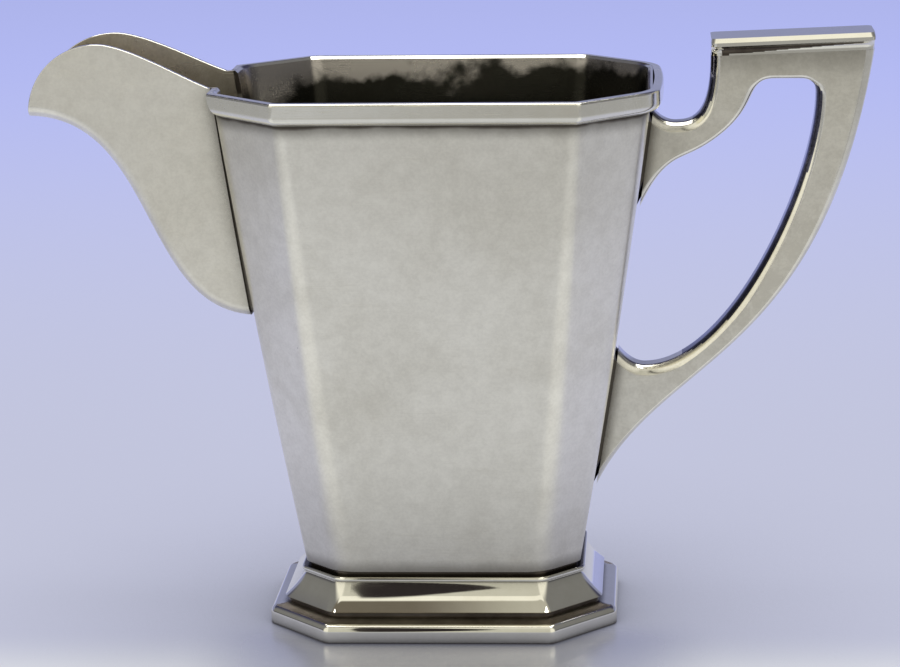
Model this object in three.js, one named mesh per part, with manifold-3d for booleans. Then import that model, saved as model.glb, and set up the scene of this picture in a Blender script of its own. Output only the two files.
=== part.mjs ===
// Panelled silver creamer: tapering eight-panel body on a spreading foot, open spout and hollow handle.
// Millimetres, +Z up. +X points to the handle, -X to the spout, -Y to the front.
// The part stands on z = 0, with its origin midway between the spout's tip and the handle's back.
import * as THREE from 'three';
import { mergeVertices } from 'three/addons/utils/BufferGeometryUtils.js';
import Module from 'manifold-3d';

// Body: a wall of sheet whose plan is a rectangle with its corners cut at 45 degrees. Its panels bow out a
// little at half height.
const BODY_HEIGHT = 81.4;
const BODY_TOP_LENGTH = 71.8;
const BODY_TOP_WIDTH = 56.2;
const BODY_TOP_CUT = 11.9;
const BODY_BASE_LENGTH = 46.8;
const BODY_BASE_WIDTH = 32.2;
const BODY_BASE_CUT = 6.3;
const BODY_BOW = 0.45;
const WALL = 0.8;
const FLOOR_THICKNESS = 0.9;

// Softening of the panel edges: the ends of the mouth are rounder than its long sides.
const PANEL_EDGE_RADIUS = 1.4;
const MOUTH_END_RADIUS = 7;

// Rim band: an upright face over a quarter round and a small lip.
const RIM_PROJECTION = 1.1;
const RIM_EDGE = 0.35;
const RIM_FACE_HEIGHT = 1.7;
const RIM_ROUND_HEIGHT = 1.15;
const RIM_LIP = 0.4;

// Spout: a channel of sheet with flat cheeks that close in towards the tip. Heights are from the rim's top,
// and a pull is how far a curve holds its direction at that end.
const SPOUT_LENGTH = 30.9;
const SPOUT_TIP_DROP = 5.3;
const SPOUT_TIP_WIDTH = 13.5;
const SPOUT_ROOT_DROP = 38.3;
const SPOUT_ROOT_WIDTH = 22;
const SPOUT_CREST_RISE = 6.9;
const SPOUT_CREST_SETBACK = 12.3;
const SPOUT_SHEET = 1.1;
const SPOUT_EDGE_RADIUS = 1.5;
const KEEL_TIP_PULL = 22;
const KEEL_ROOT_PULL = 20;
const BROW_PULL = 6.8;
const MOUTH_CREST_PULL = 5;
const MOUTH_RIM_PULL = 4.8;
const MOUTH_RIM_ANGLE = 160;

// Handle: two hollow stampings that meet on the centre plane. Its inner edge stands out from the rim, and its
// two roots lie on the body's end.
const HANDLE_SETOUT = 8.5;
const HANDLE_RISE = 7.8;
const HANDLE_THICKNESS = 6;
const HANDLE_SHEET = 0.8;
const HANDLE_EDGE_RADIUS = 0.9;
const UPPER_ROOT_CLEARANCE = 1;
const UPPER_ROOT_LENGTH = 19.4;
const LOWER_ROOT_RISE = 8.4;
const LOWER_ROOT_LENGTH = 27.5;
const FLANK_DIP = 2.8;
const FLANK_DIP_SETOUT = 4.6;
const FLANK_PULL = 10.8;
const ARM_SHOULDER_OUT = 1.4;
const ARM_SHOULDER_DROP = 9.5;
const ARM_SHOULDER_ANGLE = 38;
const ARM_SHOULDER_PULL = 9;
const ARM_ROOT_ANGLE = 66;
const ARM_ROOT_PULL = 14.5;
const ARM_TOP_WIDTH = 10.6;
const ARM_TOP_PULL = 5;
const BAR_DEPTH = 4.8;
const BACK_WIDTH = 9.6;
const BACK_TAIL_ANGLE = 69;
const BACK_TAIL_PULL = 28;
const BACK_TOP_ANGLE = 261.4;
const BACK_TOP_PULL = 56;
const LOOP_CORNER = 2.7;
const LOOP_DIP = 3.6;
const LOOP_DIP_SETOUT = 5.6;
const LOOP_PULL = 14.5;

// Thumb rest: a flat plate over a cove on the handle's top, a little higher at the back.
const THUMB_REST_LENGTH = 27.1;
const THUMB_REST_WIDTH = 10.6;
const THUMB_REST_EDGE = 1.3;
const THUMB_REST_ROUND = 0.5;
const THUMB_REST_COVE = 1.5;
const THUMB_REST_CORNER = 1.6;
const THUMB_REST_TILT = 2.1;

// Foot: a coved pedestal on a base band. Spreads are measured out from the body's lower edge.
const FOOT_SPREAD = 6.2;
const FOOT_CUT = 10.5;
const FOOT_BEAD = 0.45;
const FOOT_COVE_SPREAD = 3.7;
const FOOT_COVE_HEIGHT = 5;
const FOOT_COVE_POWER = 1.5;
const FOOT_FILLET = 1;
const FOOT_SHEET = 0.9;
const FOOT_FLANGE = 3;
const BASE_BAND_FACE = 2.3;
const BASE_BAND_ROUND = 1.4;
const BASE_BAND_LEDGE = 0.2;
const BASE_BAND_EDGE = 0.2;

// Fits and facets. An edge round takes at most the narrow share of the room between two sides.
const JOINT_GAP = 0.3;
const NARROW_SHARE = 0.7;
const CORNER_STEPS = 3;
const ROUND_STEPS = 3;
const CURVE_STEPS = 14;
const BODY_STEPS = 6;

// Heights and lengths that follow from these.
const bandTop = BASE_BAND_FACE + BASE_BAND_ROUND;
const bodyBaseHeight = bandTop + FOOT_FILLET + FOOT_COVE_HEIGHT + 2 * FOOT_BEAD;
const rimHeight = bodyBaseHeight + BODY_HEIGHT;
const rimFoot = rimHeight - RIM_EDGE - RIM_FACE_HEIGHT - RIM_ROUND_HEIGHT - RIM_LIP;
const rimEnd = BODY_TOP_LENGTH / 2 + RIM_PROJECTION;
const spoutReach = rimEnd + SPOUT_LENGTH;
const handleInner = rimEnd + HANDLE_SETOUT;
const handleReach = handleInner + THUMB_REST_LENGTH;

const wasm = await Module();
wasm.setup();

const satin = { color: 0xc9c7c0, roughness: 0.34, metalness: 1 };
const bright = { color: 0xd6d4cd, roughness: 0.14, metalness: 1 };

const vec = (x, z) => new THREE.Vector2(x, z);
const lerp = THREE.MathUtils.lerp;

// Plan of a panelled section at one height, counter-clockwise: a cut-corner rectangle with softened corners.
function panelRing({ length, width, cut, endRadius }, z) {
  const halfLength = length / 2;
  const halfWidth = width / 2;
  const along = halfLength - cut;
  const across = halfWidth - cut;
  const side = PANEL_EDGE_RADIUS;
  const corners = [
    [halfLength, -across, endRadius], [halfLength, across, endRadius],
    [along, halfWidth, side], [-along, halfWidth, side],
    [-halfLength, across, endRadius], [-halfLength, -across, endRadius],
    [-along, -halfWidth, side], [along, -halfWidth, side],
  ];
  return softened(corners, CORNER_STEPS).map((p) => new THREE.Vector3(p.x, p.y, z));
}

// Replaces each corner [x, y, radius] of a polygon by a curve that leaves its sides where a round would.
function softened(corners, steps) {
  return corners.flatMap(([x, y, radius], i) => {
    const corner = vec(x, y);
    const before = vec(...corners.at(i - 1)).sub(corner).normalize();
    const after = vec(...corners[(i + 1) % corners.length]).sub(corner).normalize();
    const reach = radius / Math.tan(Math.acos(before.dot(after)) / 2);
    const start = corner.clone().addScaledVector(before, reach);
    const finish = corner.clone().addScaledVector(after, reach);
    return new THREE.QuadraticBezierCurve(start, corner, finish).getPoints(steps);
  });
}

// Grows a panelled section evenly; a 45 degree corner cut grows by 2 - sqrt 2 of the offset.
function grown(section, offset) {
  return {
    length: section.length + 2 * offset,
    width: section.width + 2 * offset,
    cut: section.cut + (2 - Math.SQRT2) * offset,
    endRadius: section.endRadius,
  };
}

const blend = (a, b, t) => Object.fromEntries(Object.keys(a).map((key) => [key, lerp(a[key], b[key], t)]));

const bodyTop = {
  length: BODY_TOP_LENGTH, width: BODY_TOP_WIDTH, cut: BODY_TOP_CUT, endRadius: MOUTH_END_RADIUS,
};
const bodyBase = {
  length: BODY_BASE_LENGTH, width: BODY_BASE_WIDTH, cut: BODY_BASE_CUT, endRadius: PANEL_EDGE_RADIUS,
};
const footBase = { ...grown(bodyBase, FOOT_SPREAD), cut: FOOT_CUT };

// Outside of the body at a height, and of the foot at a distance out from the body's lower edge.
function bodyAt(z) {
  const t = (z - bodyBaseHeight) / BODY_HEIGHT;
  return grown(blend(bodyBase, bodyTop, t), BODY_BOW * Math.max(0, 4 * t * (1 - t)));
}
const bodyEnd = (z) => bodyAt(z).length / 2;
const bodyRing = (z, offset) => panelRing(grown(bodyAt(z), offset), z);
const bodyRings = (offset) => Array.from({ length: BODY_STEPS + 1 }, (_, i) => {
  return bodyRing(bodyBaseHeight + (i / BODY_STEPS) * BODY_HEIGHT, offset);
});
const footRing = (out, z) => panelRing(blend(bodyBase, footBase, out / FOOT_SPREAD), z);

// Joins equal rings into a geometry; a hoop's last ring meets its first, and a stack's ends are capped.
function skin(rings, isHoop) {
  const count = rings[0].length;
  const positions = rings.flat().flatMap((p) => [p.x, p.y, p.z]);
  const index = [];
  const last = isHoop ? rings.length : rings.length - 1;
  for (let i = 0; i < last; i++) {
    const low = i * count;
    const high = ((i + 1) % rings.length) * count;
    for (let j = 0; j < count; j++) {
      const k = (j + 1) % count;
      index.push(low + j, low + k, high + k, low + j, high + k, high + j);
    }
  }
  const geometry = new THREE.BufferGeometry();
  geometry.setAttribute('position', new THREE.Float32BufferAttribute(positions, 3));
  geometry.setIndex(index);
  return geometry;
}

const hoop = (rings) => skin(rings, true);

// A stack of rings with flat ends; flat gives the plane coordinates of a ring's points.
function stack(rings, flat) {
  const geometry = skin(rings, false);
  const index = [...geometry.index.array];
  const topStart = (rings.length - 1) * rings[0].length;
  for (const [a, b, c] of THREE.ShapeUtils.triangulateShape(rings[0].map(flat), [])) {
    index.push(c, b, a);
  }
  for (const [a, b, c] of THREE.ShapeUtils.triangulateShape(rings.at(-1).map(flat), [])) {
    index.push(topStart + a, topStart + b, topStart + c);
  }
  geometry.setIndex(index);
  return geometry;
}

const inPlan = (p) => vec(p.x, p.y);
const inSide = (p) => vec(p.x, p.z);

// Boolean work: geometry to solid and back.
function toSolid(geometry) {
  const bare = geometry.clone();
  bare.deleteAttribute('normal');
  bare.deleteAttribute('uv');
  const merged = mergeVertices(bare);
  const vertProperties = new Float32Array(merged.attributes.position.array);
  const triVerts = new Uint32Array(merged.index.array);
  return new wasm.Manifold(new wasm.Mesh({ numProp: 3, vertProperties, triVerts }));
}

function toGeometry(solid) {
  const { vertProperties, triVerts } = solid.getMesh();
  const geometry = new THREE.BufferGeometry();
  geometry.setAttribute('position', new THREE.BufferAttribute(vertProperties, 3));
  geometry.setIndex([...triVerts]);
  return geometry;
}

const without = (solid, ...cutters) => cutters.reduce((rest, cutter) => rest.subtract(cutter), solid);

// The same shape on the other side of the centre plane.
function mirrored(geometry) {
  const copy = geometry.clone().scale(1, -1, 1);
  const index = copy.index.array;
  copy.setIndex([...index].reverse());
  return copy;
}

// Steps through a quarter turn, giving each step's place across and up on a unit round.
function quarterTurn(make) {
  return Array.from({ length: ROUND_STEPS + 1 }, (_, i) => {
    const angle = (i / ROUND_STEPS) * (Math.PI / 2);
    return make(Math.cos(angle), Math.sin(angle));
  });
}

// For each point of a counter-clockwise outline, its inward direction and the radius of the largest round
// that touches it there and stays inside.
function inwardRoom(outline) {
  return outline.map((p, i) => {
    const along = outline[(i + 1) % outline.length].clone().sub(outline.at(i - 1)).normalize();
    const inward = vec(-along.y, along.x);
    const radii = outline.map((q) => {
      const chord = q.clone().sub(p);
      const depth = chord.dot(inward);
      return depth > 0 ? chord.lengthSq() / (2 * depth) : Infinity;
    });
    return { inward, room: Math.min(...radii) };
  });
}

// Moves an outline inward by a distance, less where it is too narrow for that.
function inset(outline, rooms, distance) {
  return outline.map((p, i) => {
    const { inward, room } = rooms[i];
    return p.clone().addScaledVector(inward, Math.min(distance, NARROW_SHARE * room));
  });
}

// A curve between two points that leaves each of them at an angle in degrees, and holds it for a pull.
function sweep(start, startAngle, startPull, finish, finishAngle, finishPull) {
  const heading = (angle) => vec(1, 0).rotateAround(vec(0, 0), THREE.MathUtils.degToRad(angle));
  return new THREE.CubicBezierCurve(
    start, start.clone().addScaledVector(heading(startAngle), startPull),
    finish.clone().addScaledVector(heading(finishAngle), finishPull), finish,
  );
}

// Front half of a slab cut to a side outline: flat on the centre plane, with the edge of its face rounded.
function roundedSlab(outline, halfWidthAt, radius) {
  const rooms = inwardRoom(outline);
  const ring = (shape, depth) => shape.map((p) => {
    return new THREE.Vector3(p.x, Math.min(depth - halfWidthAt(p.x), 0), p.y);
  });
  const middle = outline.map((p) => new THREE.Vector3(p.x, 0, p.y));
  const rounds = quarterTurn((across, up) => {
    return ring(inset(outline, rooms, radius * (1 - across)), radius * (1 - up));
  });
  return stack([middle, ...rounds], inSide);
}

// Prism across the whole width, for cutting to a side outline.
function acrossPrism(outline, halfWidth) {
  const ring = (y) => outline.map((p) => new THREE.Vector3(p.x, y, p.y));
  return stack([ring(halfWidth), ring(-halfWidth)], inSide);
}

// Body wall and floor. The block is the body with its inside filled and its mouth carried up past the handle.
function bodyBlock(offset) {
  const top = rimHeight + BODY_HEIGHT;
  return toSolid(stack([...bodyRings(offset), bodyRing(top, offset)], inPlan));
}

function makeBodyWall(spout) {
  const wall = hoop([...bodyRings(0), ...bodyRings(-WALL).reverse()]);
  return toGeometry(without(toSolid(wall), spout.channelFront, spout.channelBack));
}

function makeBodyFloor() {
  const edge = -WALL - JOINT_GAP;
  const top = bodyBaseHeight + FLOOR_THICKNESS;
  return stack([bodyRing(bodyBaseHeight, edge), bodyRing(top, edge)], inPlan);
}

// Rim band: swept round the mouth and cut where the spout's cheeks pass.
function makeRimBand(spout) {
  const faceTop = rimHeight - RIM_EDGE;
  const faceFoot = faceTop - RIM_FACE_HEIGHT;
  const lipTop = rimFoot + RIM_LIP;
  const seat = bodyEnd(rimFoot) - bodyEnd(rimHeight) + JOINT_GAP;
  const lipOut = seat + RIM_LIP;
  const quarter = quarterTurn((across, up) => [
    lerp(lipOut, RIM_PROJECTION, up), lerp(faceFoot, lipTop, across),
  ]);
  const profile = [
    [seat, rimFoot], [lipOut, rimFoot], ...quarter, [RIM_PROJECTION, faceTop],
    [RIM_PROJECTION - RIM_EDGE, rimHeight], [JOINT_GAP, rimHeight],
  ];
  const band = hoop(profile.map(([offset, z]) => panelRing(grown(bodyTop, offset), z)));
  return toGeometry(without(toSolid(band), spout.passageFront, spout.passageBack));
}

// Spout: the keel and the mouth are drawn in side view; the cheeks close in evenly from body to tip.
function spoutParts() {
  const rootHeight = rimHeight - SPOUT_ROOT_DROP;
  const tip = vec(-spoutReach, rimHeight - SPOUT_TIP_DROP);
  const root = vec(-bodyEnd(rootHeight), rootHeight);
  const crest = vec(SPOUT_CREST_SETBACK - spoutReach, rimHeight + SPOUT_CREST_RISE);
  const mouthEnd = vec(-rimEnd, rimHeight);
  const ahead = -2 * spoutReach;
  const above = 2 * rimHeight;

  const keel = sweep(tip, 0, KEEL_TIP_PULL, root, 180, KEEL_ROOT_PULL);
  const brow = sweep(tip, 90, BROW_PULL, crest, 180, BROW_PULL);
  const saddle = sweep(crest, 0, MOUTH_CREST_PULL, mouthEnd, MOUTH_RIM_ANGLE, MOUTH_RIM_PULL);
  const mouthPoints = [...brow.getPoints(CURVE_STEPS), ...saddle.getPoints(CURVE_STEPS).slice(1)];

  const taper = (SPOUT_ROOT_WIDTH - SPOUT_TIP_WIDTH) / 2 / (spoutReach - BODY_TOP_LENGTH / 2);
  const halfWidthAt = (x) => SPOUT_TIP_WIDTH / 2 + taper * (x + spoutReach);
  // Everything above the keel moved by a distance, out past the tip and in to the body's middle.
  const region = (distance) => {
    const points = keel.getPoints(CURVE_STEPS).map((p, i) => {
      const along = keel.getTangent(i / CURVE_STEPS);
      return p.addScaledVector(vec(-along.y, along.x), distance);
    });
    return [
      vec(ahead, points[0].y), ...points, vec(0, points.at(-1).y), vec(0, above), vec(ahead, above),
    ];
  };
  const channel = roundedSlab(
    region(SPOUT_SHEET), (x) => halfWidthAt(x) - SPOUT_SHEET, SPOUT_EDGE_RADIUS - SPOUT_SHEET,
  );
  const passage = roundedSlab(region(-JOINT_GAP), (x) => halfWidthAt(x) + JOINT_GAP, SPOUT_EDGE_RADIUS);
  const sky = acrossPrism([
    vec(2 * ahead, rootHeight), vec(tip.x, rootHeight), ...mouthPoints,
    vec(rimEnd, rimHeight), vec(rimEnd, 2 * above), vec(2 * ahead, 2 * above),
  ], SPOUT_ROOT_WIDTH);
  return {
    outer: toSolid(roundedSlab(region(0), halfWidthAt, SPOUT_EDGE_RADIUS)),
    sky: toSolid(sky),
    channelFront: toSolid(channel),
    channelBack: toSolid(mirrored(channel)),
    passageFront: toSolid(passage),
    passageBack: toSolid(mirrored(passage)),
  };
}

function makeSpoutHalf(spout) {
  return toGeometry(without(spout.outer, spout.channelFront, spout.sky, bodyBlock(JOINT_GAP)));
}

// Handle: a closed side outline, run counter-clockwise from the lower tail up the back and round the loop.
const tilt = THREE.MathUtils.degToRad(THUMB_REST_TILT);
const handleTop = rimHeight + HANDLE_RISE - THUMB_REST_EDGE - THUMB_REST_COVE - JOINT_GAP;
const handleTopBack = vec(handleReach, handleTop);
const handleTopInner = vec(handleInner, handleTop - THUMB_REST_LENGTH * Math.tan(tilt));

function handleOutline() {
  const onBody = (z, out) => vec(bodyEnd(z) + out, z);
  const upperRootTop = rimFoot - UPPER_ROOT_CLEARANCE;
  const upperRootFoot = upperRootTop - UPPER_ROOT_LENGTH;
  const lowerRootFoot = bodyBaseHeight + LOWER_ROOT_RISE;
  const lowerRootTop = lowerRootFoot + LOWER_ROOT_LENGTH;
  const sunk = -2 * HANDLE_THICKNESS;
  const loopTop = handleTop - BAR_DEPTH;
  const loopBack = handleReach - BACK_WIDTH;

  const tail = onBody(lowerRootFoot, 0);
  const flankDip = onBody(upperRootTop - FLANK_DIP, FLANK_DIP_SETOUT);
  const flankEnd = onBody(upperRootTop, 0);
  const armRoot = onBody(upperRootFoot, 0);
  const shoulder = vec(handleInner + ARM_SHOULDER_OUT, loopTop - ARM_SHOULDER_DROP);
  const armTop = vec(handleInner + ARM_TOP_WIDTH, loopTop);
  const corner = vec(loopBack, loopTop);
  const cornerEnd = vec(loopBack, loopTop - LOOP_CORNER);
  const loopDip = onBody(lowerRootTop - LOOP_DIP, LOOP_DIP_SETOUT);
  const loopEnd = onBody(lowerRootTop, 0);
  const runOut = (from, to) => new THREE.QuadraticBezierCurve(from, vec((from.x + to.x) / 2, from.y), to);

  const back = sweep(tail, BACK_TAIL_ANGLE, BACK_TAIL_PULL, handleTopBack, BACK_TOP_ANGLE, BACK_TOP_PULL);
  const flank = sweep(handleTopInner, -90, FLANK_PULL, flankDip, 0, FLANK_DIP);
  const armFoot = sweep(
    armRoot, ARM_ROOT_ANGLE, ARM_ROOT_PULL, shoulder, ARM_SHOULDER_ANGLE + 180, ARM_SHOULDER_PULL,
  );
  const armHead = sweep(shoulder, ARM_SHOULDER_ANGLE, ARM_SHOULDER_PULL, armTop, 180, ARM_TOP_PULL);
  const round = new THREE.QuadraticBezierCurve(vec(loopBack - LOOP_CORNER, loopTop), corner, cornerEnd);
  const loop = sweep(cornerEnd, -90, LOOP_PULL, loopDip, 0, LOOP_PULL);
  return [
    ...back.getPoints(2 * CURVE_STEPS),
    ...flank.getPoints(CURVE_STEPS),
    ...runOut(flankDip, flankEnd).getPoints(ROUND_STEPS).slice(1),
    onBody(upperRootTop, sunk),
    onBody(upperRootFoot, sunk),
    ...armFoot.getPoints(CURVE_STEPS),
    ...armHead.getPoints(CURVE_STEPS).slice(1),
    ...round.getPoints(ROUND_STEPS),
    ...loop.getPoints(2 * CURVE_STEPS).slice(1),
    ...runOut(loopDip, loopEnd).getPoints(ROUND_STEPS).slice(1),
    onBody(lowerRootTop, sunk),
    onBody(lowerRootFoot, sunk),
  ];
}

function makeHandleHalf() {
  const outline = handleOutline();
  const rooms = inwardRoom(outline);
  const halfWidth = HANDLE_THICKNESS / 2;
  const body = toSolid(roundedSlab(outline, () => halfWidth, HANDLE_EDGE_RADIUS));
  const roomy = outline.map((_, i) => i).filter((i) => rooms[i].room > 2 * HANDLE_SHEET);
  const hollow = roomy.map((i) => outline[i].clone().addScaledVector(rooms[i].inward, HANDLE_SHEET));
  const cavity = toSolid(acrossPrism(hollow, halfWidth - HANDLE_SHEET));
  return toGeometry(without(body, cavity, bodyBlock(JOINT_GAP)));
}

// Thumb rest: stacked up from the handle's top.
function makeThumbRest() {
  const stem = HANDLE_THICKNESS / 2;
  const brim = THUMB_REST_WIDTH / 2;
  const top = THUMB_REST_COVE + THUMB_REST_EDGE;
  const ring = (halfWidth, z, pull) => {
    const x = THUMB_REST_LENGTH / 2 - pull;
    const corner = Math.min(THUMB_REST_CORNER, halfWidth / 2);
    const plan = [
      [x, -halfWidth, corner], [x, halfWidth, corner], [-x, halfWidth, corner], [-x, -halfWidth, corner],
    ];
    return softened(plan, CORNER_STEPS).map((p) => new THREE.Vector3(p.x, p.y, z));
  };
  const cove = quarterTurn((across, up) => ring(lerp(brim, stem, across), THUMB_REST_COVE * up, 0));
  const round = quarterTurn((across, up) => {
    const pull = THUMB_REST_ROUND * (1 - across);
    return ring(brim - pull, top - THUMB_REST_ROUND * (1 - up), pull);
  });
  return stack([...cove, ...round], inPlan);
}

// Foot: a pedestal of sheet with a bead and a cove, flanged under the floor, on a moulded base band.
function makePedestal() {
  const coveTop = bodyBaseHeight - 2 * FOOT_BEAD;
  const coveFoot = bandTop + FOOT_FILLET;
  const coveSteps = 2 * ROUND_STEPS;
  const cove = Array.from({ length: coveSteps + 1 }, (_, i) => {
    const t = i / coveSteps;
    return [lerp(FOOT_BEAD, FOOT_COVE_SPREAD, t ** FOOT_COVE_POWER), lerp(coveTop, coveFoot, t)];
  });
  const inner = cove.map(([out, z]) => [out - FOOT_SHEET, Math.min(z, coveTop - FOOT_SHEET)]);
  const profile = [
    [FOOT_COVE_SPREAD - FOOT_SHEET, bandTop], [FOOT_COVE_SPREAD, bandTop], ...cove.reverse(),
    [2 * FOOT_BEAD, bodyBaseHeight - FOOT_BEAD], [FOOT_BEAD, bodyBaseHeight],
    [-FOOT_FLANGE, bodyBaseHeight], [-FOOT_FLANGE, coveTop], ...inner.slice(1),
  ];
  return hoop(profile.map(([out, z]) => footRing(out, z)));
}

function makeBaseBand() {
  const seatOut = FOOT_COVE_SPREAD + JOINT_GAP;
  const innerOut = FOOT_COVE_SPREAD - FOOT_SHEET - BASE_BAND_LEDGE;
  const ovolo = quarterTurn((across, up) => [
    lerp(seatOut, FOOT_SPREAD, across), lerp(BASE_BAND_FACE, bandTop, up),
  ]);
  const profile = [
    [FOOT_SPREAD - BASE_BAND_EDGE, 0], [FOOT_SPREAD, BASE_BAND_EDGE], ...ovolo,
    [innerOut, bandTop], [innerOut, 0],
  ];
  return hoop(profile.map(([out, z]) => footRing(out, z)));
}

// Assembly.
function piece(name, geometry, finish) {
  const mesh = new THREE.Mesh(geometry, new THREE.MeshStandardMaterial(finish));
  mesh.name = name;
  return mesh;
}

const creamer = new THREE.Group();
creamer.position.x = (spoutReach - handleReach) / 2;

const spout = spoutParts();
const spoutHalf = makeSpoutHalf(spout);
const handleHalf = makeHandleHalf();
creamer.add(
  piece('body_wall', makeBodyWall(spout), satin),
  piece('body_floor', makeBodyFloor(), satin),
  piece('rim_band', makeRimBand(spout), bright),
  piece('spout_half_front', spoutHalf, satin),
  piece('spout_half_back', mirrored(spoutHalf), satin),
  piece('handle_half_front', handleHalf, satin),
  piece('handle_half_back', mirrored(handleHalf), satin),
  piece('foot_pedestal', makePedestal(), bright),
  piece('foot_base_band', makeBaseBand(), bright),
);

const perch = new THREE.Group();
perch.position.set(
  (handleTopInner.x + handleTopBack.x) / 2, 0, (handleTopInner.y + handleTopBack.y) / 2 + JOINT_GAP,
);
perch.rotation.y = -tilt;
perch.add(piece('thumb_rest', makeThumbRest(), bright));
creamer.add(perch);

export default creamer;
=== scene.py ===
"""Panelled silver creamer: fine meshes, silver finishes, studio and camera.

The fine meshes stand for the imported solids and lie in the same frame: metres, +Z up, +X to the handle,
-X to the spout and -Y to the front. Sizes in the classes are in millimetres and are measured from the
body's axis and from the table, as on a bench drawing; settle() brings a finished mesh into the frame.
"""

import logging
import math
from collections.abc import Callable, Sequence
from dataclasses import dataclass, replace
from enum import Enum
from typing import ClassVar

import bmesh
import bpy
import numpy as np
from mathutils import Matrix, Vector

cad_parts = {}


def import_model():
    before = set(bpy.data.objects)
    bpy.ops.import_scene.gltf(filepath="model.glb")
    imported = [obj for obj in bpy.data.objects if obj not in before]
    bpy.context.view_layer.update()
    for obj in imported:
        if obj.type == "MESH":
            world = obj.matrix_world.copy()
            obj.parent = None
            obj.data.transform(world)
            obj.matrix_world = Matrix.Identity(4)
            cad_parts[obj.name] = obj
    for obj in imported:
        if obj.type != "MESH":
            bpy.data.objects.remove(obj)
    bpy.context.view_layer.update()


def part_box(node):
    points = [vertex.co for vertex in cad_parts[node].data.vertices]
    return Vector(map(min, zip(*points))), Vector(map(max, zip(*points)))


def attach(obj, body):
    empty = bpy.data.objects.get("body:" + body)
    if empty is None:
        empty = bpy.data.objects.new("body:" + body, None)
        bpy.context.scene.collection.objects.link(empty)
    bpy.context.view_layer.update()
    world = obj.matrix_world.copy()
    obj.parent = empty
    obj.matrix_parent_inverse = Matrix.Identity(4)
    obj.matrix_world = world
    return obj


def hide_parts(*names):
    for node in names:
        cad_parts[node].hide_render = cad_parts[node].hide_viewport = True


LOG = logging.getLogger("creamer")

MM = 0.001
BODY_NAME = "root"
SHARP_ANGLE = 34.0

Point = np.ndarray
Ring = np.ndarray
Span = tuple[float, float]
Triple = tuple[float, float, float]
Colour = Triple
Piece = bpy.types.Object
Material = bpy.types.Material
Tree = bpy.types.NodeTree
Socket = bpy.types.NodeSocket


class Slot(Enum):
    """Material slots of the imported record."""

    SATIN = "satin_silver"
    BRIGHT = "bright_silver"


class Coat(Enum):
    """Finishes that one piece can carry, by material slot number."""

    OUTSIDE = 0
    INSIDE = 1
    EDGE = 2


# Curves and rings


def heading(angle: float) -> Point:
    """Unit direction at an angle in degrees."""
    turn = math.radians(angle)
    return np.array([math.cos(turn), math.sin(turn)])


def bezier(controls: Sequence[Point], steps: int) -> np.ndarray:
    """Points along a Bezier curve.

    Args:
        controls: control points, two or more.
        steps: number of spans.

    Returns:
        One row per point, ends included.
    """
    share = np.linspace(0, 1, steps + 1)[:, None]
    levels = [np.tile(np.asarray(point, float), (steps + 1, 1)) for point in controls]
    while len(levels) > 1:
        levels = [(1 - share) * a + share * b for a, b in zip(levels, levels[1:])]
    return levels[0]


@dataclass(frozen=True)
class CurveEnd:
    """End of a drawn curve: its place, its direction in degrees and how far it holds that direction."""

    place: Point
    angle: float
    pull: float

    def control(self) -> Point:
        """Control point beside this end."""
        return self.place + self.pull * heading(self.angle)


def sweep(start: CurveEnd, finish: CurveEnd, steps: int) -> np.ndarray:
    """Points of the curve that leaves each end in that end's direction."""
    return bezier([start.place, start.control(), finish.control(), finish.place], steps)


def softened(corners: Sequence[tuple[float, float, float]], steps: int, flat_steps: int) -> np.ndarray:
    """Rounds the corners of a polygon.

    Args:
        corners: x, y and radius of each corner, counter-clockwise.
        steps: spans of each corner's curve.
        flat_steps: spans of each straight side.

    Returns:
        Points of the softened outline.
    """
    places = np.array([corner[:2] for corner in corners])
    arcs = []
    for i, (_, _, radius) in enumerate(corners):
        before = places[i - 1] - places[i]
        after = places[(i + 1) % len(places)] - places[i]
        before /= np.linalg.norm(before)
        after /= np.linalg.norm(after)
        reach = radius / math.tan(math.acos(float(before @ after)) / 2)
        arcs.append(bezier([places[i] + reach * before, places[i], places[i] + reach * after], steps))
    spans = []
    for arc, following in zip(arcs, arcs[1:] + arcs[:1]):
        spans += [arc, bezier([arc[-1], following[0]], flat_steps)[1:-1]]
    return np.concatenate(spans)


def lifted(outline: np.ndarray, z: float) -> Ring:
    """A plan outline as a ring at one height."""
    return np.column_stack([outline, np.full(len(outline), z)])


def quarter_turn(steps: int) -> list[tuple[float, float]]:
    """Places across and up on a unit quarter round, from its foot to its top."""
    angles = np.linspace(0, math.pi / 2, steps + 1)
    return [(math.cos(angle), math.sin(angle)) for angle in angles]


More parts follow.
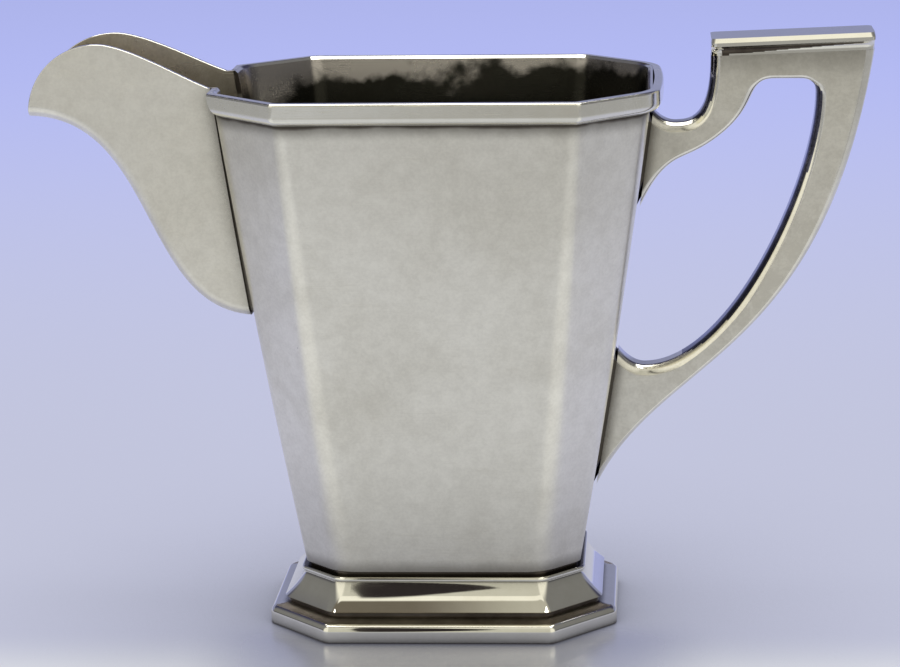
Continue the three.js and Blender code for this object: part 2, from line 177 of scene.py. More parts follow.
@dataclass(frozen=True)
class Section:
    """Panelled plan section: a rectangle with its corners cut at 45 degrees."""

    LEAST: ClassVar[float] = 0.3

    length: float
    width: float
    cut: float
    end_radius: float
    side_radius: float

    def grown(self, offset: float) -> "Section":
        """The section moved outward evenly; a 45 degree cut grows by 2 - sqrt 2 of the offset."""
        return Section(
            self.length + 2 * offset,
            self.width + 2 * offset,
            self.cut + (2 - math.sqrt(2)) * offset,
            self.end_radius,
            self.side_radius,
        )

    def toward(self, other: "Section", share: float) -> "Section":
        """The section a share of the way to another one, or past it."""
        mixed = [
            max((1 - share) * a + share * b, self.LEAST)
            for a, b in zip(vars(self).values(), vars(other).values())
        ]
        return Section(*mixed)

    def ring(
        self,
        z: float,
        steps: int = 8,
        flat_steps: int = 12,
        end_bow: float = 0.0,
        spout_radius: float | None = None,
    ) -> Ring:
        """The section's softened outline at a height.

        Args:
            z: height.
            steps: spans of each corner.
            flat_steps: spans of each side.
            end_bow: how far the handle's end swells in its middle.
            spout_radius: radius of the corners at the spout's end, where it differs.

        Returns:
            Points of the ring, counter-clockwise.
        """
        x, y = self.length / 2, self.width / 2
        along, across = x - self.cut, y - self.cut
        end, side = self.end_radius, self.side_radius
        spout = end if spout_radius is None else spout_radius
        corners = [
            (x, -across, end), (x, across, end), (along, y, side), (-along, y, side),
            (-x, across, spout), (-x, -across, spout), (-along, -y, side), (along, -y, side),
        ]
        outline = softened(corners, steps, flat_steps)
        swell = np.clip(1 - (outline[:, 1] / across) ** 2, 0, 1)
        outline[:, 0] += np.where(outline[:, 0] > 0, end_bow * swell, 0)
        return lifted(outline, z)


# Meshes


def placed(name: str, data: bpy.types.ID) -> Piece:
    """A new object in the scene."""
    thing = bpy.data.objects.new(name, data)
    bpy.context.scene.collection.objects.link(thing)
    return thing


def mesh_piece(
    name: str, points: np.ndarray, faces: list[Sequence[int]], inside: Sequence[int] = ()
) -> Piece:
    """A new mesh object in the scene, with faces that point outward.

    Args:
        name: name of the piece.
        points: one row per point.
        faces: point numbers of each face.
        inside: numbers of the faces that take the inside finish.

    Returns:
        The mesh object, with an empty slot for each coat.
    """
    mesh = bpy.data.meshes.new(name)
    mesh.from_pydata(points.tolist(), [], faces)
    for _ in Coat:
        mesh.materials.append(None)
    for face in inside:
        mesh.polygons[face].material_index = Coat.INSIDE.value
    draft = bmesh.new()
    draft.from_mesh(mesh)
    bmesh.ops.recalc_face_normals(draft, faces=draft.faces)
    draft.to_mesh(mesh)
    draft.free()
    return placed(name, mesh)


def skinned(
    name: str, rings: Sequence[Ring], hoop: bool, inside: Sequence[int] = ()
) -> Piece:
    """Joins equal rings into a closed mesh.

    Args:
        name: name of the piece.
        rings: rings with the same number of points.
        hoop: whether the last ring meets the first; otherwise both ends are capped.
        inside: spans between rings that take the inside finish.

    Returns:
        The mesh object.
    """
    count = len(rings[0])
    last = len(rings) if hoop else len(rings) - 1
    faces: list[Sequence[int]] = []
    for i in range(last):
        low, high = i * count, (i + 1) % len(rings) * count
        for j in range(count):
            k = (j + 1) % count
            faces.append((low + j, low + k, high + k, high + j))
    if not hoop:
        start = (len(rings) - 1) * count
        faces += [list(reversed(range(count))), list(range(start, start + count))]
    inner = [face for span in inside for face in range(span * count, (span + 1) * count)]
    return mesh_piece(name, np.concatenate(rings), faces, inner)


def all_inside(piece: Piece) -> Piece:
    """Gives every face of a piece the inside finish, and so the faces that it cuts."""
    coat = Coat.INSIDE.value
    piece.data.polygons.foreach_set("material_index", [coat] * len(piece.data.polygons))
    return piece


def coat_faces(piece: Piece, coat: Coat, picks: Callable[[bpy.types.MeshPolygon], bool]) -> Piece:
    """Gives a coat to the faces that a test picks out."""
    for face in piece.data.polygons:
        if picks(face):
            face.material_index = coat.value
    return piece


def combine(piece: Piece, operation: str, cutters: Sequence[Piece]) -> Piece:
    """Adds or cuts closed meshes and removes them from the scene.

    Args:
        piece: mesh to change.
        operation: UNION or DIFFERENCE.
        cutters: the other meshes.

    Returns:
        The changed piece.
    """
    for cutter in cutters:
        modifier = piece.modifiers.new("combine", "BOOLEAN")
        modifier.operation = operation
        modifier.solver = "EXACT"
        modifier.object = cutter
    depsgraph = bpy.context.evaluated_depsgraph_get()
    carved = bpy.data.meshes.new_from_object(piece.evaluated_get(depsgraph))
    piece.modifiers.clear()
    piece.data = carved
    for cutter in cutters:
        bpy.data.objects.remove(cutter)
    return piece


def carve(piece: Piece, *cutters: Piece) -> Piece:
    """Cuts closed meshes out of a piece."""
    return combine(piece, "DIFFERENCE", cutters)


def mirrored(piece: Piece, name: str) -> Piece:
    """A copy of a piece on the other side of the centre plane."""
    mesh = piece.data.copy()
    mesh.transform(Matrix.Scale(-1, 4, (0, 1, 0)))
    mesh.flip_normals()
    return placed(name, mesh)


def settle(piece: Piece) -> None:
    """Brings a bench mesh in millimetres into the frame and shades it smooth up to its sharp edges."""
    low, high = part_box("rim_band")
    axis = Matrix.Translation(((low.x + high.x) / 2, 0, 0))
    mesh = piece.data
    mesh.transform(axis @ Matrix.Scale(MM, 4))
    mesh.polygons.foreach_set("use_smooth", [True] * len(mesh.polygons))
    mesh.set_sharp_from_angle(angle=math.radians(SHARP_ANGLE))
    weighted = piece.modifiers.new("even_faces", "WEIGHTED_NORMAL")
    weighted.keep_sharp = True
    mesh.update()


class InwardRoom:
    """How far each point of a counter-clockwise side outline can move inward."""

    NARROW_SHARE = 0.7
    LEAST_DEPTH = 1e-9

    def __init__(self, outline: np.ndarray) -> None:
        """Measures the largest round that touches each point and stays inside the outline."""
        self.outline = outline
        along = np.roll(outline, -1, axis=0) - np.roll(outline, 1, axis=0)
        along /= np.linalg.norm(along, axis=1)[:, None]
        self.inward = np.column_stack([-along[:, 1], along[:, 0]])
        chords = outline[None, :, :] - outline[:, None, :]
        depth = np.einsum("ijk,ik->ij", chords, self.inward)
        reach = np.einsum("ijk,ijk->ij", chords, chords)
        least = self.LEAST_DEPTH
        radii = np.where(depth > least, reach / (2 * np.maximum(depth, least)), np.inf)
        self.room = radii.min(axis=1)

    def inset(self, distance: float | np.ndarray) -> np.ndarray:
        """The outline moved inward, less where it is too narrow for that."""
        moved = np.minimum(distance, self.NARROW_SHARE * self.room)
        return self.outline + moved[:, None] * self.inward


def rounded_slab(
    name: str,
    outline: np.ndarray,
    half_width: Callable[[np.ndarray], np.ndarray],
    radius: float | np.ndarray,
    steps: int,
    whole: bool = False,
) -> Piece:
    """A slab cut to a side outline, with the edges of its faces rounded.

    Args:
        name: name of the piece.
        outline: side outline in x and z, counter-clockwise.
        half_width: half the slab's width at each x.
        radius: radius of the rounded edge, one for all or one for each point.
        steps: spans of the round.
        whole: whether the back half is made with the front one.

    Returns:
        The mesh object.
    """
    room = InwardRoom(outline)

    def ring(shape: np.ndarray, depth: float | np.ndarray) -> Ring:
        """A side outline at a depth below the slab's face."""
        return np.column_stack([shape[:, 0], depth - half_width(shape[:, 0]), shape[:, 1]])

    rounds = [
        ring(room.inset(radius * (1 - across)), radius * (1 - up))
        for across, up in quarter_turn(steps)
    ]
    if whole:
        back = [shape * (1, -1, 1) for shape in rounds]
        return skinned(name, [*reversed(rounds), *back], hoop=False)
    middle = np.column_stack([outline[:, 0], np.zeros(len(outline)), outline[:, 1]])
    return skinned(name, [middle, *rounds], hoop=False)


def across_prism(name: str, outline: np.ndarray, half_width: float) -> Piece:
    """A prism across the centre plane, for cutting to a side outline."""
    rings = [
        np.column_stack([outline[:, 0], np.full(len(outline), y), outline[:, 1]])
        for y in (half_width, -half_width)
    ]
    return skinned(name, rings, hoop=False)


# Sub-assemblies


class SubAssembly:
    """Soldered pieces that are built, dressed and seated on the frame together."""

    def seat(self, piece: Piece, slot: Slot, finishes: dict[Coat, Material], *nodes: str) -> None:
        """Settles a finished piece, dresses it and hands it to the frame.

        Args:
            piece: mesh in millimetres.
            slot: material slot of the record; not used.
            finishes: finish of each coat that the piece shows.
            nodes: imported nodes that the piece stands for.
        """
        settle(piece)
        materials = piece.data.materials
        for coat in reversed(Coat):
            if coat in finishes:
                materials[coat.value] = finishes[coat]
            else:
                materials.pop(index=coat.value)
        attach(piece, BODY_NAME)
        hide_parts(*nodes)
        names = ", ".join(finish.name for finish in finishes.values())
        LOG.info("%s: %d faces, %s", piece.name, len(piece.data.polygons), names)


@dataclass
class Body(SubAssembly):
    """Tapering eight-panel wall of sheet, with its floor let in at the bottom."""

    base_height: float = 10.6
    height: float = 81.4
    base: Section = Section(46.8, 32.2, 6.3, 2.5, 7.0)
    mouth: Section = Section(71.8, 56.2, 11.9, 7.0, 3.6)
    bow: float = 0.45
    wall: float = 0.8
    lip: float = 0.42
    lip_tilt: float = 0.3
    brim_drop: float = 0.03
    floor_thickness: float = 0.9
    floor_lap: float = 0.05
    floor_dish: float = 0.25
    floor_rings: tuple[float, ...] = (0.25, 0.5, 0.75, 0.97)
    rows: int = 60

    @property
    def top(self) -> float:
        """Height of the mouth above the table."""
        return self.base_height + self.height

    def section(self, z: float) -> Section:
        """Outside of the body at a height: an even taper with a slight bow."""
        share = (z - self.base_height) / self.height
        swell = self.bow * max(0.0, 4 * share * (1 - share))
        return self.base.toward(self.mouth, share).grown(swell)

    def end(self, z: float) -> float:
        """Distance from the axis to the body's end panels at a height."""
        return self.section(z).length / 2

    def rings(self, offset: float, top: float) -> list[Ring]:
        """Rings up the body's outside moved outward by an offset."""
        heights = np.linspace(self.base_height, top, self.rows + 1)
        return [self.section(z).grown(offset).ring(z) for z in heights]

    def block(self, offset: float) -> Piece:
        """The body filled and carried up past the handle, for cutting what meets it."""
        above = self.top + self.height
        rings = self.rings(offset, self.top)
        return skinned("body_block", [*rings, self.section(above).grown(offset).ring(above)], hoop=False)

    def join(self, half: Piece, tenon: Piece, groove: float, overlap: float) -> None:
        """Cuts a half back from the wall and bridges the groove with a thinner tenon."""
        carve(half, self.block(groove))
        carve(tenon, self.block(-overlap))
        combine(half, "UNION", [tenon])

    def build_wall(self, channel: Piece) -> Piece:
        """The wall, with the opening behind the spout cut out of it."""
        brim = self.top - self.brim_drop
        lip_foot = brim - self.lip
        outer = self.rings(0, brim)
        inner = self.rings(-self.wall, lip_foot)
        lip = [
            self.mouth.grown(-self.wall + self.lip).ring(brim),
            self.mouth.grown(-self.wall).ring(lip_foot),
        ]
        rings = [*outer, *lip, *reversed(inner[:-1])]
        # The inner faces take the inside coat, which carries painted shade.
        inside = range(len(outer) + len(lip) - 1, len(rings) - 1)
        wall = skinned("body_wall_fine", rings, hoop=True, inside=inside)
        coat_faces(
            wall, Coat.EDGE, lambda face: face.center.z > lip_foot and face.normal.z > self.lip_tilt
        )
        return carve(wall, channel)

    def build_floor(self) -> Piece:
        """The floor plate, slightly dished."""
        low, high = self.base_height, self.base_height + self.floor_thickness
        edge = self.section(high).grown(-self.wall + self.floor_lap)
        rings = [edge.ring(low), edge.ring(high)]
        for share in self.floor_rings:
            ring = edge.ring(high - self.floor_dish * math.sin(share * math.pi / 2))
            ring[:, :2] *= 1 - share
            rings.append(ring)
        return skinned("body_floor_fine", rings, hoop=False)


@dataclass
class Rim(SubAssembly):
    """Applied moulding round the mouth: an upright face over a quarter round and a small lip."""

    body: Body
    projection: float = 1.099
    edge: float = 0.4
    face_height: float = 1.7
    round_height: float = 1.38
    lip: float = 0.12
    lip_set: float = 0.3
    bite: float = 0.2
    inner: float = -0.4
    end_bow: float = 0.7
    end_radius: float = 9.0
    side_radius: float = 1.3
    spout_radius: float = 2.5
    tongue_set: float = 0.75
    tongue_length: float = 2.7
    tongue_height: float = 3.1
    tongue_steps: int = 16
    steps: int = 8

    @property
    def foot(self) -> float:
        """Height of the moulding's lower edge."""
        return self.body.top - self.edge - self.face_height - self.round_height - self.lip

    @property
    def end(self) -> float:
        """Distance from the axis to the rim's ends."""
        return self.body.mouth.length / 2 + self.projection

    def profile(self) -> list[tuple[float, float]]:
        """Offsets from the mouth and heights, from the seat on the wall round to the top."""
        top = self.body.top
        face_top = top - self.edge
        face_foot = face_top - self.face_height
        lip_top = self.foot + self.lip
        seat = self.body.end(self.foot) - self.body.end(top)
        lip_out = seat + self.lip_set + self.lip
        lip_round = [
            (lip_out - self.lip / 2 * (1 - up), self.foot + self.lip / 2 * (1 - across))
            for across, up in quarter_turn(self.steps)
        ]
        quarter = [
            (lip_out + (self.projection - lip_out) * up, face_foot + (lip_top - face_foot) * across)
            for across, up in quarter_turn(self.steps)
        ]
        crown = [
            (self.projection - self.edge * (1 - across), face_top + self.edge * up)
            for across, up in quarter_turn(self.steps)
        ]
        return [
            (seat - self.bite, self.foot), *lip_round, (lip_out, lip_top), *quarter[1:], *crown,
            (self.inner, top), (self.inner, top - self.face_height),
        ]

    def build(self, passage: Piece) -> Piece:
        """The band, cut where the spout's cheeks pass and rounded off there."""
        mouth = replace(self.body.mouth, end_radius=self.end_radius, side_radius=self.side_radius)
        rings = [
            mouth.grown(out).ring(z, end_bow=self.end_bow, spout_radius=self.spout_radius)
            for out, z in self.profile()
        ]
        return carve(skinned("rim_band_fine", rings, hoop=True), passage, self.tongue_cutter())

    def tongue_cutter(self) -> Piece:
        """What is filed off the band's two ends: a square end with its lower corner rounded."""
        size = np.array([self.tongue_length, self.tongue_height])
        centre = np.array([self.tongue_set - self.end, self.foot]) + size
        turn = quarter_turn(self.tongue_steps)
        arc = np.array([centre - size * (up, across) for across, up in turn])
        far, low, high = -2 * self.end, self.foot - self.tongue_height, 2 * self.body.top
        outside = np.array([[self.tongue_set - self.end, high], [far, high], [far, low], [centre[0], low]])
        return across_prism("rim_tongues", np.concatenate([outside, arc]), self.body.mouth.width)


@dataclass
class Spout(SubAssembly):
    """Open channel of sheet with flat cheeks that close in towards the tip, made in two halves."""

    CHEEK_NORMAL: ClassVar[float] = 0.97
    NEAR_PLANE: ClassVar[float] = 1e-4

    body: Body
    rim: Rim
    length: float = 30.9
    tip_drop: float = 5.3
    tip_width: float = 13.5
    root_drop: float = 38.3
    root_width: float = 22.0
    crest_rise: float = 6.9
    crest_setback: float = 12.3
    sheet: float = 1.1
    edge_radius: float = 1.9
    keel_tip_pull: float = 22.0
    keel_root_pull: float = 20.0
    brow_pull: float = 6.8
    mouth_crest_pull: float = 5.0
    mouth_rim_pull: float = 4.8
    mouth_rim_angle: float = 160.0
    lip_round: float = 0.5
    lip_margin: float = 1.1
    lip_slack: float = 0.02
    lip_segments: int = 4
    overlap: float = 0.2
    groove: float = 0.75
    groove_depth: float = 0.45
    ahead: float = 8.0
    steps: int = 44
    edge_steps: int = 8
    channel_steps: int = 6

    @property
    def reach(self) -> float:
        """Distance from the axis to the tip."""
        return self.rim.end + self.length

    def half_width(self, x: np.ndarray) -> np.ndarray:
        """Half the spout's width at each x."""
        run = self.reach - self.body.mouth.length / 2
        taper = (self.root_width - self.tip_width) / 2 / run
        return self.tip_width / 2 + taper * (x + self.reach)

    def keel(self) -> np.ndarray:
        """Side view of the keel, from the tip to the body."""
        top = self.body.top
        root = top - self.root_drop
        tip = CurveEnd(np.array([-self.reach, top - self.tip_drop]), 0, self.keel_tip_pull)
        foot = CurveEnd(np.array([-self.body.end(root), root]), 180, self.keel_root_pull)
        return sweep(tip, foot, self.steps)

    def mouth(self) -> np.ndarray:
        """Side view of the mouth's edge, from the tip over the crest to the rim."""
        top = self.body.top
        crest = np.array([self.crest_setback - self.reach, top + self.crest_rise])
        tip = CurveEnd(np.array([-self.reach, top - self.tip_drop]), 90, self.brow_pull)
        finish = np.array([-self.rim.end, top])
        brow = sweep(tip, CurveEnd(crest, 180, self.brow_pull), self.steps)
        saddle = sweep(
            CurveEnd(crest, 0, self.mouth_crest_pull),
            CurveEnd(finish, self.mouth_rim_angle, self.mouth_rim_pull),
            self.steps,
        )
        return np.concatenate([brow, saddle[1:]])

    def region(self, distance: float) -> np.ndarray:
        """Side outline of everything above the keel moved by a distance."""
        keel = self.keel()
        along = np.gradient(keel, axis=0)
        along /= np.linalg.norm(along, axis=1)[:, None]
        moved = keel + distance * np.column_stack([-along[:, 1], along[:, 0]])
        ahead = -self.reach - self.ahead
        above = 2 * self.body.top
        start, finish = [[ahead, moved[0, 1]]], [[0, moved[-1, 1]], [0, above], [ahead, above]]
        return np.concatenate([start, moved, finish])

    def channel(self) -> Piece:
        """Inside of the spout, for cutting."""
        return rounded_slab(
            "spout_channel",
            self.region(self.sheet),
            lambda x: self.half_width(x) - self.sheet,
            self.edge_radius - self.sheet,
            self.channel_steps,
            whole=True,
        )

    def passage(self) -> Piece:
        """The spout's outside, for cutting the rim."""
        return rounded_slab(
            "spout_passage",
            self.region(0),
            self.half_width,
            self.edge_radius,
            self.channel_steps,
            whole=True,
        )

    def sky(self) -> Piece:
        """Everything above the mouth's edge, for cutting."""
        mouth = self.mouth()
        low, high = self.body.top - self.root_drop, 3 * self.body.top
        far = -2 * self.reach
        outline = np.concatenate([
            [[far, low], [mouth[0, 0], low]],
            mouth,
            [[self.rim.end, self.body.top], [self.rim.end, high], [far, high]],
        ])
        return across_prism("spout_sky", outline, self.root_width)

    def round_lip(self, piece: Piece) -> None:
        """Rounds both edges of the mouth."""
        mouth = self.mouth()
        draft = bmesh.new()
        draft.from_mesh(piece.data)
        lip_faces = {
            face
            for face in draft.faces
            if self.on_lip(face.normal, face.calc_center_median(), mouth, self.lip_slack)
        }
        edges = [
            edge
            for edge in draft.edges
            if len(edge.link_faces) == 2
            and len(lip_faces.intersection(edge.link_faces)) == 1
            and max(abs(vert.co.y) for vert in edge.verts) > self.NEAR_PLANE
        ]
        bmesh.ops.bevel(
            draft, geom=edges, offset=self.lip_round, offset_type="OFFSET",
            segments=self.lip_segments, profile=0.5, affect="EDGES", clamp_overlap=True,
        )
        draft.to_mesh(piece.data)
        draft.free()

    def on_lip(self, normal: Vector, centre: Vector, mouth: np.ndarray, reach: float) -> bool:
        """Whether a face lies on the mouth's cut edge.

        Args:
            normal: direction that the face points in.
            centre: middle of the face.
            mouth: side view of the mouth.
            reach: how far from the mouth still counts.

        Returns:
            True for a face on the edge.
        """
        if abs(normal.y) > self.CHEEK_NORMAL:
            return False
        place = np.array([centre.x, centre.z])
        start, run = mouth[:-1], np.diff(mouth, axis=0)
        share = np.clip(((place - start) * run).sum(1) / (run * run).sum(1), 0, 1)
        gap = np.linalg.norm(start + share[:, None] * run - place, axis=1)
        return bool(gap.min() < reach)

    def build_half(self) -> Piece:
        """The front half, with a grooved joint where it meets the body's wall."""
        depth = self.groove_depth
        half = rounded_slab(
            "spout_half_front_fine",
            self.region(0),
            self.half_width,
            self.edge_radius,
            self.edge_steps,
        )
        tenon = rounded_slab(
            "spout_tenon",
            self.region(depth),
            lambda x: self.half_width(x) - depth,
            self.edge_radius - depth,
            self.edge_steps,
        )
        self.body.join(half, tenon, self.groove, self.overlap)
        carve(half, all_inside(self.channel()), self.sky())
        self.round_lip(half)
        mouth = self.mouth()
        reach = self.lip_margin * self.lip_round
        return coat_faces(
            half, Coat.EDGE, lambda face: self.on_lip(face.normal, face.center, mouth, reach)
        )


@dataclass
class Handle(SubAssembly):
    """Two stampings that meet on the centre plane, with two roots on the body's end.

    Their hollow is never seen, so the fine meshes are filled.
    """

    body: Body
    rim: Rim
    setout: float = 8.5
    rise: float = 7.8
    thickness: float = 6.0
    edge_radius: float = 1.8
    under_radius: float = 0.7
    shaded: float = 0.5
    upper_root_clearance: float = 1.0
    upper_root_length: float = 19.4
    lower_root_rise: float = 8.4
    lower_root_length: float = 27.5
    flank_dip: float = 2.8
    flank_dip_setout: float = 4.6
    flank_pull: float = 10.8
    shoulder_out: float = 1.4
    shoulder_drop: float = 9.5
    shoulder_angle: float = 38.0
    shoulder_pull: float = 9.0
    arm_root_angle: float = 66.0
    arm_root_pull: float = 14.5
    arm_top_width: float = 10.6
    arm_top_pull: float = 5.0
    bar_depth: float = 4.8
    back_width: float = 9.6
    back_tail_angle: float = 69.0
    back_tail_pull: float = 28.0
    back_top_angle: float = 261.4
    back_top_pull: float = 56.0
    loop_corner: float = 2.7
    loop_dip: float = 3.6
    loop_dip_setout: float = 5.6
    loop_pull: float = 14.5
    rest_length: float = 27.1
    rest_depth: float = 3.1
    rest_tilt: float = 2.1
    overlap: float = 0.2
    groove: float = 0.75
    groove_depth: float = 0.5
    spare: float = 5.0
    down_gain: float = 1.25
    flat_normal: float = 0.995
    steps: int = 36
    top_steps: int = 4
    edge_steps: int = 10

    @property
    def inner(self) -> float:
        """Distance from the axis to the handle's inner edge at the top."""
        return self.rim.end + self.setout

    @property
    def top_back(self) -> Point:
        """Rear corner of the handle's top."""
        return np.array([self.inner + self.rest_length, self.body.top + self.rise - self.rest_depth])

    @property
    def top_inner(self) -> Point:
        """Front corner of the handle's top."""
        drop = self.rest_length * math.tan(math.radians(self.rest_tilt))
        return np.array([self.inner, self.top_back[1] - drop])

    def on_body(self, z: float, out: float) -> Point:
        """Point at a height and a distance out from the body's end panel."""
        return np.array([self.body.end(z) + out, z])

    def run_out(self, start: Point, finish: Point) -> np.ndarray:
        """Curve that carries an edge out onto the body."""
        return bezier([start, np.array([(start[0] + finish[0]) / 2, start[1]]), finish], self.steps // 3)

    def outline(self) -> np.ndarray:
        """Side outline, counter-clockwise from the lower tail up the back and round the loop."""
        upper_top = self.rim.foot - self.upper_root_clearance
        upper_foot = upper_top - self.upper_root_length
        lower_foot = self.body.base_height + self.lower_root_rise
        lower_top = lower_foot + self.lower_root_length
        sunk = -2 * self.thickness
        loop_top = self.top_back[1] - self.bar_depth
        loop_back = self.top_back[0] - self.back_width

        flank_dip = self.on_body(upper_top - self.flank_dip, self.flank_dip_setout)
        shoulder = np.array([self.inner + self.shoulder_out, loop_top - self.shoulder_drop])
        arm_top = np.array([self.inner + self.arm_top_width, loop_top])
        corner_end = np.array([loop_back, loop_top - self.loop_corner])
        corner_start = np.array([loop_back - self.loop_corner, loop_top])
        loop_dip = self.on_body(lower_top - self.loop_dip, self.loop_dip_setout)

        back = sweep(
            CurveEnd(self.on_body(lower_foot, 0), self.back_tail_angle, self.back_tail_pull),
            CurveEnd(self.top_back, self.back_top_angle, self.back_top_pull),
            3 * self.steps,
        )
        spare = np.array([0, self.spare])
        top = bezier([self.top_back + spare, self.top_inner + spare], self.top_steps)
        flank = sweep(
            CurveEnd(self.top_inner, -90, self.flank_pull),
            CurveEnd(flank_dip, 0, self.flank_dip),
            2 * self.steps,
        )
        arm_foot = sweep(
            CurveEnd(self.on_body(upper_foot, 0), self.arm_root_angle, self.arm_root_pull),
            CurveEnd(shoulder, self.shoulder_angle + 180, self.shoulder_pull),
            2 * self.steps,
        )
        arm_head = sweep(
            CurveEnd(shoulder, self.shoulder_angle, self.shoulder_pull),
            CurveEnd(arm_top, 180, self.arm_top_pull),
            self.steps,
        )
        bar = bezier([arm_top, corner_start], self.steps // 4)
        corner = bezier([corner_start, np.array([loop_back, loop_top]), corner_end], self.steps // 2)
        loop = sweep(
            CurveEnd(corner_end, -90, self.loop_pull),
            CurveEnd(loop_dip, 0, self.loop_pull),
            3 * self.steps,
        )
        return np.concatenate([
            back,
            top,
            flank,
            self.run_out(flank_dip, self.on_body(upper_top, 0))[1:],
            [self.on_body(upper_top, sunk), self.on_body(upper_foot, sunk)],
            arm_foot,
            arm_head[1:],
            bar[1:-1],
            corner,
            loop[1:],
            self.run_out(loop_dip, self.on_body(lower_top, 0))[1:],
            [self.on_body(lower_top, sunk), self.on_body(lower_foot, sunk)],
        ])

    def edge_radii(self, outline: np.ndarray) -> np.ndarray:
        """Radius of the rounded edge at each point, tighter where the outline faces down."""
        down = np.clip(self.down_gain * InwardRoom(outline).inward[:, 1], 0, 1)
        share = down * down * (3 - 2 * down)
        return self.edge_radius + (self.under_radius - self.edge_radius) * share

    def build_half(self) -> Piece:
        """The front half, sawn flat under the thumb rest and grooved where it meets the body."""
        outline = self.outline()
        radii = self.edge_radii(outline)
        depth = self.groove_depth
        half = rounded_slab(
            "handle_half_front_fine",
            outline,
            lambda x: np.full(len(x), self.thickness / 2),
            radii,
            self.edge_steps,
        )
        tenon = rounded_slab(
            "handle_tenon",
            InwardRoom(outline).inset(depth),
            lambda x: np.full(len(x), self.thickness / 2 - depth),
            self.edge_radius - depth,
            self.edge_steps,
        )
        self.body.join(half, tenon, self.groove, self.overlap)
        carve(half, self.top_cutter())
        coat_faces(half, Coat.EDGE, lambda face: abs(face.normal.y) < self.flat_normal)
        # Left-facing faces take a painted dark reflection.
        return coat_faces(half, Coat.INSIDE, lambda face: face.normal.x < -self.shaded)

    def top_cutter(self) -> Piece:
        """Everything above the sawn top."""
        run = self.top_back - self.top_inner
        low, high = self.top_inner - run, self.top_back + run
        rise = np.array([0, self.rest_length])
        return across_prism("handle_top", np.array([low, high, high + rise, low + rise]), self.thickness)


@dataclass
class ThumbRest(SubAssembly):
    """Flat plate over a cove on the handle's top, a little higher at the back."""

    handle: Handle
    width: float = 10.6
    edge: float = 1.28
    bevel: float = 0.7
    bevel_angle: float = 34.3
    cove: float = 1.5
    corner: float = 1.0
    gap: float = 0.3
    stop: float = 1.9
    taper: float = 0.7
    end_share: float = 0.2
    end_slack: float = 0.02
    groove_normal: float = 0.4
    bevel_shares: tuple[float, float, int] = (0.02, 1, 4)
    steps: int = 24
    corner_steps: int = 6
    flat_steps: int = 60

    def ring(self, half_width: float, z: float, pull: float) -> Ring:
        """Plan of the plate at one height, pulled in a little at its ends."""
        x = self.handle.rest_length / 2 - self.end_slack - self.end_share * pull
        stem, brim = self.handle.thickness / 2, self.width / 2
        share = min(max((half_width - stem) / (brim - stem), 0), 1)
        corner = (1 - share) * self.handle.edge_radius + share * self.corner
        plan = [
            (x, -half_width, corner), (x, half_width, corner),
            (-x, half_width, corner), (-x, -half_width, corner),
        ]
        return lifted(softened(plan, self.corner_steps, self.flat_steps), z)

    def build(self) -> Piece:
        """The plate, stacked up from the handle's top and tilted with it."""
        stem, brim = self.handle.thickness / 2, self.width / 2
        top = self.cove + self.edge
        rings = [self.ring(stem, -self.gap, 0)]
        for across, up in quarter_turn(self.steps):
            rings.append(self.ring(brim + (stem - brim) * across, self.cove * up, 0))
        rings.append(self.ring(brim, top - self.bevel, 0))
        for share in np.linspace(*self.bevel_shares):
            pull = share * self.bevel * math.tan(math.radians(self.bevel_angle))
            rings.append(self.ring(brim - pull, top - self.bevel * (1 - share), pull))
        plate = skinned("thumb_rest_fine", rings, hoop=False)
        # The cove under the plate takes painted shade with tarnish, narrowing to the back.
        coat_faces(plate, Coat.INSIDE, self.in_groove)
        middle = (self.handle.top_inner + self.handle.top_back) / 2
        place = Matrix.Translation((middle[0], 0, middle[1] + self.gap))
        plate.data.transform(place @ Matrix.Rotation(-math.radians(self.handle.rest_tilt), 4, "Y"))
        return plate

    def in_groove(self, face: bpy.types.MeshPolygon) -> bool:
        """Whether a face of the level plate lies in the cove's groove, which narrows to the back."""
        half = self.handle.rest_length / 2
        share = (face.center.x / half + 1) / 2
        low = (self.taper * self.cove + self.gap) * share - self.gap
        clear = abs(face.center.x) < half - self.stop
        return clear and abs(face.normal.y) > self.groove_normal and low < face.center.z < self.cove


